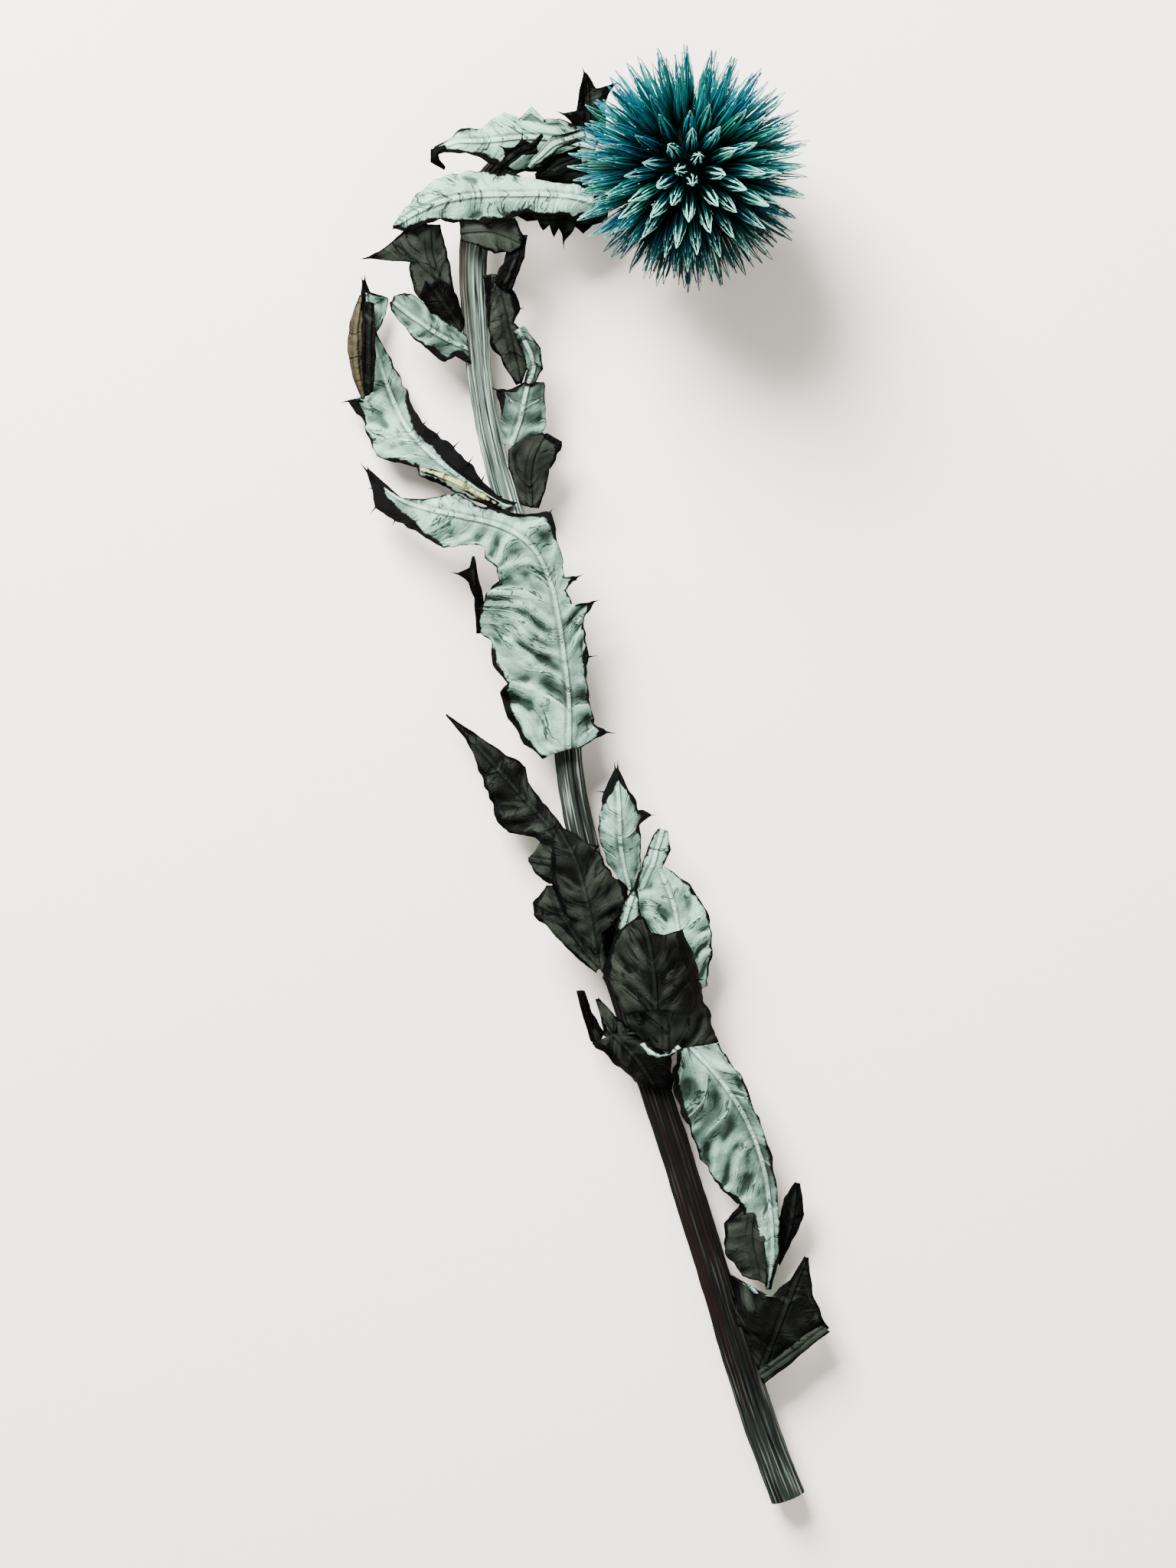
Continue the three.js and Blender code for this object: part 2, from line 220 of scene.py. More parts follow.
def new_material(name, roughness, gloss):
    """A node material with these constants on its shader, and the function that adds a node to it."""
    made = bpy.data.materials.new(name)
    made.use_nodes = True
    shader = made.node_tree.nodes["Principled BSDF"]
    shader.inputs["Roughness"].default_value = roughness
    shader.inputs["Specular IOR Level"].default_value = gloss
    return made, partial(add, made.node_tree)


def shaded(made, base, relief=None, strength=0.0, depth=0.0):
    """The material with this base colour, and with a relief that is this many millimetres deep."""
    tree = made.node_tree
    shader = tree.nodes["Principled BSDF"]
    tree.links.new(base, shader.inputs["Base Color"])
    if relief is not None:
        normal = add(tree, "Bump", {"Height": relief, "Strength": strength, "Distance": depth * MM})
        tree.links.new(normal, shader.inputs["Normal"])
    return made


def layered(new, base, *layers):
    """A colour under layers of other colours, each given as (where it is, how strong it is, its colour)."""
    for where, strength, over in layers:
        base = new("Mix", {0: new("Math", where, strength, **TIMES), 6: base, 7: over}, **IN_COLOUR)
    return base


def new_tree(name, inputs):
    """A geometry node tree with these named inputs, given as name: (type of socket, default), the function that
    adds a node to it, and the inputs."""
    tree = bpy.data.node_groups.new(name, "GeometryNodeTree")
    for label, (kind, default) in inputs.items():
        socket = tree.interface.new_socket(label, in_out="INPUT", socket_type="NodeSocket" + kind)
        if default is not None:
            socket.default_value = default
    tree.interface.new_socket("Geometry", in_out="OUTPUT", socket_type="NodeSocketGeometry")
    return tree, partial(add, tree), tree.nodes.new("NodeGroupInput").outputs


def end_tree(tree, geometry, material=None):
    """The tree, ending in this geometry made real and given its material."""
    result = add(tree, "RealizeInstances", geometry)
    if material is not None:
        result = add(tree, "SetMaterial", result, None, material)
    tree.links.new(result, tree.nodes.new("NodeGroupOutput").inputs["Geometry"])
    return tree


def in_scene(name, mesh):
    """An object with this mesh in the scene."""
    made = bpy.data.objects.new(name, mesh)
    bpy.context.scene.collection.objects.link(made)
    return made


def mesh_object(name, points, faces=(), edges=()):
    """A new mesh of these points, edges and faces, as an object in the scene."""
    mesh = bpy.data.meshes.new(name)
    mesh.from_pydata(points, edges, faces)
    return in_scene(name, mesh)


def grown(name, source, tree, values):
    """Runs a geometry node tree on an object and keeps the result as a plain mesh object."""
    modifier = source.modifiers.new("Growth", "NODES")
    modifier.node_group = tree
    for item in tree.interface.items_tree:
        if item.in_out == "INPUT" and item.name in values:
            modifier[item.identifier] = values[item.name]
    evaluated = source.evaluated_get(bpy.context.evaluated_depsgraph_get())
    mesh = bpy.data.meshes.new_from_object(evaluated)
    bpy.data.objects.remove(source)
    mesh.name = name
    return in_scene(name, mesh)


def finish_piece(piece, slot, *nodes):
    """The piece rides on the flower's one body and stands for these CAD nodes."""
    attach(piece, BODY)
    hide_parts(*nodes)


# ------------------------------------------------------------------ the floor, the lights and the camera

FLOOR_REACH = 6  # m from the middle to each side of the floor
# A broad window light past the head's end, and a weaker one to fill from the other side. Of each: where it stands
# and how wide it is, in metres, and its power in watts.
LIGHTS = {"Window": ((-0.3, 0.54, 0.46), 0.4, 38), "Fill": ((0.4, -0.5, 0.6), 0.7, 4)}
ROOM, ROOM_STRENGTH = "#f4f2ef", 0.62
SENSOR_HEIGHT = 36  # mm
MARGIN = 1.06  # height of the picture, in lengths of the flower


class THISTLE_OT_stage(bpy.types.Operator):
    """Make the pale floor, the soft lights and the camera above the flower"""

    bl_idname = "thistle.stage"
    bl_label = "Stage"

    def execute(self, context):
        settings = context.scene.thistle_stage
        r = FLOOR_REACH
        floor = mesh_object("Floor", [(-r, -r, 0), (r, -r, 0), (r, r, 0), (-r, r, 0)], [(0, 1, 2, 3)])
        # Painted board: rolled on and dried matt, so it is even and pale, with hardly any reflection.
        paint, _ = new_material("Matt painted board", roughness=0.9, gloss=0.2)
        paint.node_tree.nodes["Principled BSDF"].inputs["Base Color"].default_value = settings.floor
        floor.data.materials.append(paint)

        world = bpy.data.worlds.new("Pale room")
        world.use_nodes = True
        background = world.node_tree.nodes["Background"].inputs
        background["Color"].default_value = linear(ROOM)
        background["Strength"].default_value = ROOM_STRENGTH
        context.scene.world = world
        for name, (position, size, power) in LIGHTS.items():
            self.add_light(name, position, size, power)
        self.add_camera(context, settings.lens)
        return {"FINISHED"}

    def add_light(self, name, position, size, power):
        """A square soft light that faces the flower."""
        data = bpy.data.lights.new(name, "AREA")
        data.size = size
        data.energy = power
        light = in_scene(name, data)
        light.location = position
        light.rotation_euler = Vector(position).to_track_quat("Z", "Y").to_euler()
        light.visible_camera = False

    def add_camera(self, context, lens):
        """The camera looks straight down, with the flower head up in the picture."""
        low, high = CAD_BOX
        data = bpy.data.cameras.new("Camera")
        data.lens = lens
        data.sensor_fit = "VERTICAL"
        data.sensor_height = SENSOR_HEIGHT
        distance = MARGIN * (high.y - low.y) * lens / SENSOR_HEIGHT
        camera = in_scene("Camera", data)
        camera.location = ((low.x + high.x) / 2, (low.y + high.y) / 2, distance + high.z / 2)
        context.scene.camera = camera


# ------------------------------------------------------------------ the florets

GOLDEN_ANGLE = math.pi * (3 - math.sqrt(5))
NECK_DIRECTION = Vector((-0.8, 0.1, -0.59)).normalized()  # from the head's centre
UNDYED_SIDE = Vector((0.1, -0.45, 0.8)).normalized()
# SHADED_SIDE: the head's lower side, which is painted darker with painted shade.
SHADED_SIDE = Vector((0.1, -0.9, -0.1)).normalized()
# How wide a bract is on its way from foot to tip, as a share of its widest.
BRACT_TAPER = ((0.0, 0.35), (1.0, 0.12), (0.3, 0.85), (0.62, 1.0), (0.86, 0.66))


def floret_directions(count, bare_angle):
    """Number and direction of each floret, evenly spread over the ball from its apex to the neck."""
    apex = -NECK_DIRECTION
    to_head = Vector((0, 1, 0)).rotation_difference(apex)
    for i in range(count):
        polar = math.acos(1 - (2 * i + 1) / count)
        azimuth = i * GOLDEN_ANGLE
        ring = math.sin(polar)
        outward = to_head @ Vector((ring * math.sin(azimuth), math.cos(polar), ring * math.cos(azimuth)))
        if outward.angle(NECK_DIRECTION) > bare_angle:
            yield i, outward


def whorl_tree():
    """One ring of bracts round a floret's axis. Each is a keeled blade on a bowed line."""
    lengths = ("Foot", "Tip", "Foot radius", "Bow", "Tip radius", "Width", "Thickness")
    inputs = {"Count": ("Int", 5), "Turn": ("Float", 0.0), "Order": ("Float", 0.0)}
    inputs.update({name: ("Float", 0.001) for name in lengths})
    tree, new, given = new_tree("Whorl of bracts", inputs)

    # The line that a bract follows, in four points: how far each is from the axis, and how far along it.
    heights = [given["Foot"], *(new("MapRange", s, None, None, given["Foot"], given["Tip"]) for s in (0.33, 0.72))]
    radii = (given["Foot radius"], given["Bow"], given["Bow"], given["Tip radius"])
    ends = [new("CombineXYZ", radius, None, z) for radius, z in zip(radii, [*heights, given["Tip"]])]
    line = new("CurvePrimitiveBezierSegment", 7, *ends, mode="POSITION")
    factor = new("SplineParameter")
    line = new("StoreNamedAttribute", line, None, "along", factor)
    taper = new("FloatCurve", {"Value": factor})
    mapping = taper.node.mapping
    shape = mapping.curves[0].points
    shape[0].location, shape[1].location = BRACT_TAPER[:2]
    for x, y in BRACT_TAPER[2:]:
        shape.new(x, y)
    mapping.update()

    # Its section has four corners, two at the edges and two on the keel.
    section = new("CurvePrimitiveCircle", {"Resolution": 4, "Radius": 0.5}, mode="RADIUS")
    on_section = new("SeparateXYZ", new("InputPosition"))
    section = new("StoreNamedAttribute", section, None, "across", new("Math", on_section, 2.0, **TIMES))
    flattened = new("CombineXYZ", given["Width"], given["Thickness"], 1.0)
    section = new("Transform", {"Geometry": section, "Scale": flattened})
    blade = new("CurveToMesh", {"Curve": line, "Profile Curve": section, "Scale": taper, "Fill Caps": True})
    blade = new("StoreNamedAttribute", blade, None, "order", given["Order"])

    share = new("Math", new("InputIndex"), given["Count"], operation="DIVIDE")
    angle = new("Math", share, 2 * math.pi, given["Turn"], **TIMES_PLUS)
    turned = new("AxisAngleToRotation", {"Axis": (0, 0, 1), "Angle": angle})
    points = new("Points", {"Count": given["Count"], "Position": (0, 0, 0)})
    return end_tree(tree, new("InstanceOnPoints", {"Points": points, "Instance": blade, "Rotation": turned}))


# Rings of bracts, from outside in: count, first angle, then as shares of the floret's length where the ring starts
# and ends, then in bract widths its distance from the axis at the foot, at the bow and at the tip, then its width.
WHORLS = (
    (6, 0.3, 0.10, 0.56, 0.35, 1.0, 1.05, 0.5),
    (6, 0.0, 0.22, 0.78, 0.35, 1.1, 0.72, 0.85),
    (5, 0.5, 0.30, 0.91, 0.3, 1.0, 0.3, 1.05),
    (4, 0.2, 0.35, 1.00, 0.2, 0.8, 0.05, 1.0),
)
LEAN = 0.07  # radians that a floret leans at most
SMALLEST, LARGEST = (0.92, 0.92, 0.91), (1.1, 1.1, 1.0)  # of a floret, in width, depth and length
RUFFLE_SIZE = 1.9  # mm, of the noise that the tips follow


def floret_tree():
    """Florets on the points of a mesh, each pointing away from the ball's centre."""
    tree, new, given = new_tree(
        "Florets on a ball",
        {
            "Geometry": ("Geometry", None), "Centre": ("Vector", None), "Length": ("Float", 0.012),
            "Bract width": ("Float", 0.001), "Bract thickness": ("Float", 0.0003), "Ruffle": ("Float", 0.0003),
            "Seed": ("Int", 1), "Material": ("Material", None),
        },
    )
    whorl = whorl_tree()
    floret = new("JoinGeometry")
    for order, (count, turn, *shares) in enumerate(WHORLS):
        values = {"Count": count, "Turn": turn, "Order": order / (len(WHORLS) - 1)}
        units = [given["Length"]] * 2 + [given["Bract width"]] * 4
        for name, unit, share in zip(("Foot", "Tip", "Foot radius", "Bow", "Tip radius", "Width"), units, shares):
            values[name] = new("Math", unit, share, **TIMES)
        ring = new("Group", {**values, "Thickness": given["Bract thickness"]}, node_tree=whorl)
        tree.links.new(ring, floret.node.inputs["Geometry"])

    position = new("InputPosition")
    outward = new("VectorMath", position, given["Centre"], **LESS)
    aligned = new("AlignRotationToVector", {"Vector": outward}, axis="Z")
    number = new("InputNamedAttribute", "number", data_type="INT")
    drawn = {"ID": number, "Seed": given["Seed"]}
    full_turn = {"Min": (-LEAN, -LEAN, 0.0), "Max": (LEAN, LEAN, 6.2832)}
    twist = new("EulerToRotation", new("RandomValue", {**full_turn, **drawn}, **AS_VECTOR))
    rotation = new("RotateRotation", {"Rotation": aligned, "Rotate By": twist}, rotation_space="LOCAL")
    size = new("RandomValue", {"Min": SMALLEST, "Max": LARGEST, **drawn}, **AS_VECTOR)
    tint = new("RandomValue", {2: 0.0, 3: 1.0, "ID": number, "Seed": 3}, data_type="FLOAT", out=1)
    placed = new(
        "InstanceOnPoints", {"Points": given["Geometry"], "Instance": floret, "Rotation": rotation, "Scale": size}
    )
    tinted = new("StoreNamedAttribute", placed, None, "tint", tint, domain="INSTANCE")
    real = new("RealizeInstances", tinted)

    # Tips stray: the push grows along each bract, and is different from bract to bract.
    along = new("InputNamedAttribute", "along", data_type="FLOAT")
    strength = new("Math", along, 1.6, operation="POWER")
    wave = new(
        "TexNoise", {"Vector": position, "Scale": per(RUFFLE_SIZE), "Detail": 1.0, "W": 0.37},
        noise_dimensions="4D", out="Color",
    )
    centred = new("VectorMath", wave, (0.5, 0.5, 0.5), **LESS)
    push = new("Math", new("Math", strength, given["Ruffle"], **TIMES), 2.6, **TIMES)
    offset = new("VectorMath", {0: centred, "Scale": push}, operation="SCALE")
    return end_tree(tree, new("SetPosition", real, None, None, offset), given["Material"])


def dyed_bract(settings):
    """Dyed papery bract: a dry, thin, satin leaf tissue. The dye misses its tip and edges, and painted shade darkens
    its foot and the head's lower side, so each floret goes from dark petrol, painted shade between its neighbours, to
    pale mint points, with fine lines along it."""
    made, new = new_material("Dyed papery bract", roughness=0.55, gloss=0.06)
    made.node_tree.nodes["Principled BSDF"].inputs["IOR"].default_value = 1.45
    along, across, order, tint = (
        new("Attribute", attribute_name=name, out="Fac") for name in ("along", "across", "order", "tint")
    )
    where = new("TexCoord", out="Object")
    dyes = {0.0: settings.blue_dye, 0.35: settings.dye, 0.75: settings.dye, 1.0: settings.green_dye}
    patch = new("TexNoise", {"Vector": where, "Scale": per(7), "Detail": 2.0})
    lighter = new("ValToRGB", patch, stops={0.35: (0.4, 0.4, 0.4, 1), 0.7: (1.2, 1.2, 1.2, 1)})
    body = new("Mix", {0: 1.0, 6: new("ValToRGB", tint, stops=dyes), 7: lighter}, blend_type="MULTIPLY", **IN_COLOUR)

    # How far out from the ball's centre: painted shade makes everything deep down near black, on every bract, and
    # darkens the feet of the bracts.
    outward = new("VectorMath", where, HEAD_CENTRE, **LESS)
    distance = new("VectorMath", outward, operation="LENGTH", out="Value")
    depth = new("MapRange", distance, 0.48 * HEAD_RADIUS, 0.8 * HEAD_RADIUS, **EASED)
    lit = new("Math", depth, new("MapRange", along, 0.1, 0.5, 0.25, 1.0, **EASED), **TIMES)
    unit = new("VectorMath", outward, operation="NORMALIZE")
    toward_shade, undyed = (
        new("VectorMath", unit, side, operation="DOT_PRODUCT", out="Value") for side in (SHADED_SIDE, UNDYED_SIDE)
    )
    # Painted shade: the florets towards SHADED_SIDE are darker.
    lit = new("Math", lit, new("MapRange", toward_shade, 0.0, 0.8, 1.0, 0.3, **EASED), **TIMES)
    body = new("Mix", {0: lit, 6: settings.shade, 7: body}, **IN_COLOUR)

    # The undyed part: the tip, the two edges towards the tip, and fine lines. The dye reached more of the tips on the
    # side that is painted in shade and on the side opposite it, and missed most of them on the side that was
    # uppermost in the bath.
    streak = new("TexNoise", {"Vector": where, "Scale": per(0.53), "Detail": 1.0})
    dry = new("Math", order, 0.1, along, **TIMES_PLUS)
    for value, *span in (
        (toward_shade, 0.75, 0.3, -0.12, 0.06),
        (toward_shade, 0.0, -0.6, 0.0, -0.12),
        (undyed, 0.6, 0.95, 0.0, 0.3),
        (new("Math", across, operation="ABSOLUTE"), 0.6, 1.0, 0.0, 0.2),
        (streak, 0.4, 0.8, -0.06, 0.1),
    ):
        dry = new("Math", dry, new("MapRange", value, *span, **EASED), **PLUS)
    dry = new("Math", tint, 0.08, dry, **TIMES_PLUS)
    dry = new("MapRange", new("Math", dry, depth, **TIMES), 0.98, 1.3, **EASED)
    return shaded(made, new("Mix", {0: dry, 6: body, 7: settings.tip}, **IN_COLOUR))


class THISTLE_OT_florets(bpy.types.Operator):
    """Grow the florets: the crown at the apex, and the spirals that run from it to the neck"""

    bl_idname = "thistle.florets"
    bl_label = "Florets"

    def execute(self, context):
        settings = context.scene.thistle_head
        groups = {"floret_crown": []}
        for i, outward in floret_directions(settings.florets, settings.bare_angle):
            name = "floret_crown" if i < SPIRALS else f"floret_spiral_{i % SPIRALS + 1:02d}"
            groups.setdefault(name, []).append((i, outward))
        missing = sorted(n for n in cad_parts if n.startswith("floret_") and n not in groups)
        if missing:
            raise RuntimeError(f"no florets were grown for {missing}")
        tree = floret_tree()
        values = {
            "Centre": HEAD_CENTRE,
            "Length": HEAD_RADIUS - settings.foot,
            "Bract width": settings.bract_width,
            "Bract thickness": settings.bract_thickness,
            "Ruffle": settings.ruffle,
            "Seed": settings.seed,
            "Material": dyed_bract(settings),
        }
        for node, florets in groups.items():
            feet = mesh_object(node + "_feet", [HEAD_CENTRE + outward * settings.foot for _, outward in florets])
            number = feet.data.attributes.new("number", "INT", "POINT")
            number.data.foreach_set("value", [i for i, _ in florets])
            piece = grown(node.replace("floret", "florets"), feet, tree, values)
            finish_piece(piece, "floret", node)
        return {"FINISHED"}


# ------------------------------------------------------------------ the stem

# The middle of the stem from the cut end to where the neck starts to bend, then of the neck, as (x, y, height).
# Millimetres, from the spot on the table under the head's centre.
STEM_LINE = (
    (14.7, -190, 2.65), (9.6, -176, 2.8), (-0.2, -144.2, 3), (-10.3, -112.6, 3.4), (-16.3, -89, 3.7),
    (-18.7, -69, 3.9), (-25.3, -48, 4.2), (-29.2, -32.6, 4.4), (-30.8, -16.5, 4.6), (-30.7, -8.5, 4.6),
)
NECK_LINE = ((-29.4, -1.4, 4.6), (-25.2, 3.2, 4.8), (-19.2, 3.4, 5.8))
NECK_IN_HEAD = (0.85, 0.6)  # of the head's radius: where the neck goes in among the florets
NECK_END = 4  # mm from the head's centre
NECK_START = 0.84  # share of the whole line at which the neck starts
SLIMMEST = 0.74  # share of the whole line at which the stem is slimmest
SWELL = 1.2  # how much thicker it is again where the neck starts
RECEPTACLE_RADIUS = 6.1  # mm
RINGS = 420  # along the stem
CORNERS_PER_RIB = 8.0
DENT_SIZE, DENT_DEPTH = 6.25, 0.55  # mm, of the stem's unevenness


def stem_tree():
    """A ribbed stem along a line: a fluted ring swept along it, thinner towards the neck and a little uneven."""
    tree, new, given = new_tree(
        "Ribbed stem",
        {
            "Geometry": ("Geometry", None), "Ribs": ("Int", 13), "Rib depth": ("Float", 0.1),
            "Cut radius": ("Float", 0.0024), "Top radius": ("Float", 0.0018), "Neck radius": ("Float", 0.0015),
            "Material": ("Material", None),
        },
    )
    position = new("InputPosition")
    along = new("SplineParameter")
    line = new("MeshToCurve", {"Mesh": given["Geometry"]})
    line = new("CurveSplineType", {"Curve": line}, spline_type="CATMULL_ROM")
    line = new("ResampleCurve", {"Curve": line, "Count": RINGS})
    line = new("StoreNamedAttribute", line, None, "along", along)
    line = new("StoreNamedAttribute", line, None, "middle", position, **AS_VECTOR)

    # The ring: its radius is 1, less a groove between each two ribs.
    corners = new("Math", given["Ribs"], CORNERS_PER_RIB, **TIMES)
    ring = new("CurvePrimitiveCircle", {"Resolution": corners, "Radius": 1.0}, mode="RADIUS")
    ring = new("StoreNamedAttribute", ring, None, "ring", position, **AS_VECTOR)
    x, y, _ = new("SeparateXYZ", position).node.outputs
    angle = new("Math", y, x, operation="ARCTAN2")
    wave = new("Math", new("Math", angle, given["Ribs"], **TIMES), operation="COSINE")
    crest = new("Math", wave, 0.5, 0.5, **TIMES_PLUS)
    ring = new("StoreNamedAttribute", ring, None, "crest", crest)
    groove = new("Math", new("Math", 1.0, crest, **LESS), given["Rib depth"], **TIMES)
    inward = new("VectorMath", {0: position, "Scale": new("Math", 1.0, groove, **LESS)}, operation="SCALE")
    ring = new("SetPosition", ring, None, inward)

    # The stem's radius: from the cut to the slimmest place, a swell where the neck starts, and the neck.
    radius = new("MapRange", along, 0.0, SLIMMEST, given["Cut radius"], given["Top radius"])
    shrink = new("Math", given["Neck radius"], given["Top radius"], operation="DIVIDE")
    for span in ((NECK_START, 1.0, SWELL, shrink), (SLIMMEST, NECK_START, 1.0 / SWELL, 1.0)):
        radius = new("Math", radius, new("MapRange", along, *span), **TIMES)
    stem = new("CurveToMesh", {"Curve": line, "Profile Curve": ring, "Scale": radius, "Fill Caps": True})
    dents = new("TexNoise", {"Vector": position, "Scale": per(DENT_SIZE), "Detail": 2.0})
    push = new("Math", new("Math", dents, 0.55, **LESS), DENT_DEPTH * MM, **TIMES)
    stem = new(
        "SetPosition", stem, None, None,
        new("VectorMath", {0: new("InputNormal"), "Scale": push}, operation="SCALE"),
    )
    middle = new("InputNamedAttribute", "middle", **AS_VECTOR)
    spoke = new("VectorMath", new("VectorMath", position, middle, **LESS), operation="NORMALIZE")
    stem = new("StoreNamedAttribute", stem, None, "aside", new("SeparateXYZ", spoke))
    return end_tree(tree, stem, given["Material"])


# Colours of the stem from the cut end, at 0, to the receptacle, at 1.
STEM_BODY = {
    0.0: "#1d241f", 0.1: "#0b0d0b", 0.38: "#050605", 0.5: "#262d28", 0.62: "#4b5a51", 0.8: "#4f5d54", 0.95: "#22231e",
}
STEM_FIBRE = {
    0.0: "#5d675e", 0.1: "#2e2d28", 0.38: "#171613", 0.5: "#8a958b", 0.62: "#a5b5aa", 0.8: "#a5b3a9", 0.95: "#484a43",
}
STEM_GROOVE = {0.0: "#030403", 0.45: "#020202", 0.6: "#101713", 0.95: "#080606"}
MAROON, BROWN, STAIN = "#120a08", "#1d1612", 0.88


def stem_skin():
    """Dried stem skin: matt, with pale woolly fibres along its ribs and brown-black grooves. It is grey-green and
    woolly towards the neck and nearly black, with thin tan fibres, towards the cut."""
    made, new = new_material("Dried woolly stem", roughness=0.8, gloss=0.05)
    along, crest, aside = (
        new("Attribute", attribute_name=name, out="Fac") for name in ("along", "crest", "aside")
    )
    x, y, _ = new("SeparateXYZ", new("Attribute", attribute_name="ring", out="Vector")).node.outputs
    # Two noises that are drawn out along the stem: fine fibres, and broad patches.
    fine, broad = (
        new(
            "TexNoise",
            {
                "Vector": new("CombineXYZ", x, y, new("Math", along, lengthways, seed, **TIMES_PLUS)),
                "Scale": across, "Detail": 3.0,
            },
        )
        for across, lengthways, seed in ((7.0, 3.0, 0.0), (1.6, 6.0, 5.0))
    )
    body, fibre, groove = (new("ValToRGB", along, stops=s) for s in (STEM_BODY, STEM_FIBRE, STEM_GROOVE))
    raised = new("Math", fine, new("Math", crest, 0.14, -0.07, **TIMES_PLUS), **PLUS)

    # Maroon stains low on the stem, and a brown side just below the neck.
    maroon, brown = (
        new("Math", new("MapRange", *a, **EASED), new("MapRange", *b, **EASED), **TIMES)
        for a, b in (((broad, 0.5, 0.62), (along, 0.5, 0.42)), ((aside, -0.05, -0.4), (along, 0.72, 0.79)))
    )
    base = layered(
        new, body,
        (new("MapRange", raised, 0.54, 0.68, **EASED), 1.0, fibre),
        (new("MapRange", raised, 0.46, 0.34, **EASED), 1.0, groove),
        (maroon, STAIN, MAROON),
        (brown, STAIN, BROWN),
    )
    return shaded(made, base, fine, strength=0.4, depth=0.2)


def mottled(name, dark, light, size, depth):
    """A matt material of two colours in patches about this many millimetres wide, dented to this depth."""
    made, new = new_material(name, roughness=0.9, gloss=0.05)
    spots = new("TexNoise", {"Vector": new("TexCoord", out="Object"), "Scale": per(size), "Detail": 3.0})
    return shaded(made, new("ValToRGB", spots, stops={0.35: dark, 0.65: light}), spots, strength=0.8, depth=depth)


class THISTLE_OT_stem(bpy.types.Operator):
    """Make the ribbed stem with its bent neck, its cut end and the receptacle inside the head"""

    bl_idname = "thistle.stem"
    bl_label = "Stem"

    def execute(self, context):
        settings = context.scene.thistle_stem
        line = [place(*p) for p in STEM_LINE + NECK_LINE]
        inside = [share * HEAD_RADIUS for share in NECK_IN_HEAD] + [NECK_END * MM]
        line += [HEAD_CENTRE + NECK_DIRECTION * d for d in inside]
        source = mesh_object("stem_line", line, edges=[(i, i + 1) for i in range(len(line) - 1)])
        piece = grown(
            "ribbed_stem", source, stem_tree(),
            {
                "Ribs": settings.ribs,
                "Rib depth": settings.rib_depth,
                "Cut radius": settings.cut_radius,
                "Top radius": settings.top_radius,
                "Neck radius": settings.neck_radius,
                "Material": stem_skin(),
            },
        )
        mesh = piece.data
        mesh.shade_smooth()
        start = (line[1] - line[0]).normalized()
        # Pith: the stem's spongy core, cut across and dried. It is flat, matt and straw-coloured, with small pores.
        mesh.materials.append(mottled("Dry pith", "#6b6048", "#b8ad8c", 0.35, 0.2))
        # Receptacle: the solid knob that carries the florets, dyed. It is matt, and almost black as painted shade, so
        # that the gaps between the florets' feet stay dark.
        mesh.materials.append(mottled("Dyed receptacle in painted shade", "#010403", "#031512", 0.7, 0.3))
        for polygon in mesh.polygons:
            if len(polygon.vertices) > 4 and polygon.normal.dot(start) < -0.8:
                polygon.material_index = 1
                polygon.use_smooth = False
        body = bmesh.new()
        body.from_mesh(mesh)
        ball = bmesh.ops.create_icosphere(
            body, subdivisions=4, radius=RECEPTACLE_RADIUS * MM, matrix=Matrix.Translation(HEAD_CENTRE)
        )
        for face in {face for vertex in ball["verts"] for face in vertex.link_faces}:
            face.material_index = 2
            face.smooth = True
        body.to_mesh(mesh)
        body.free()
        finish_piece(piece, "stem", "flower_stem")
        return {"FINISHED"}
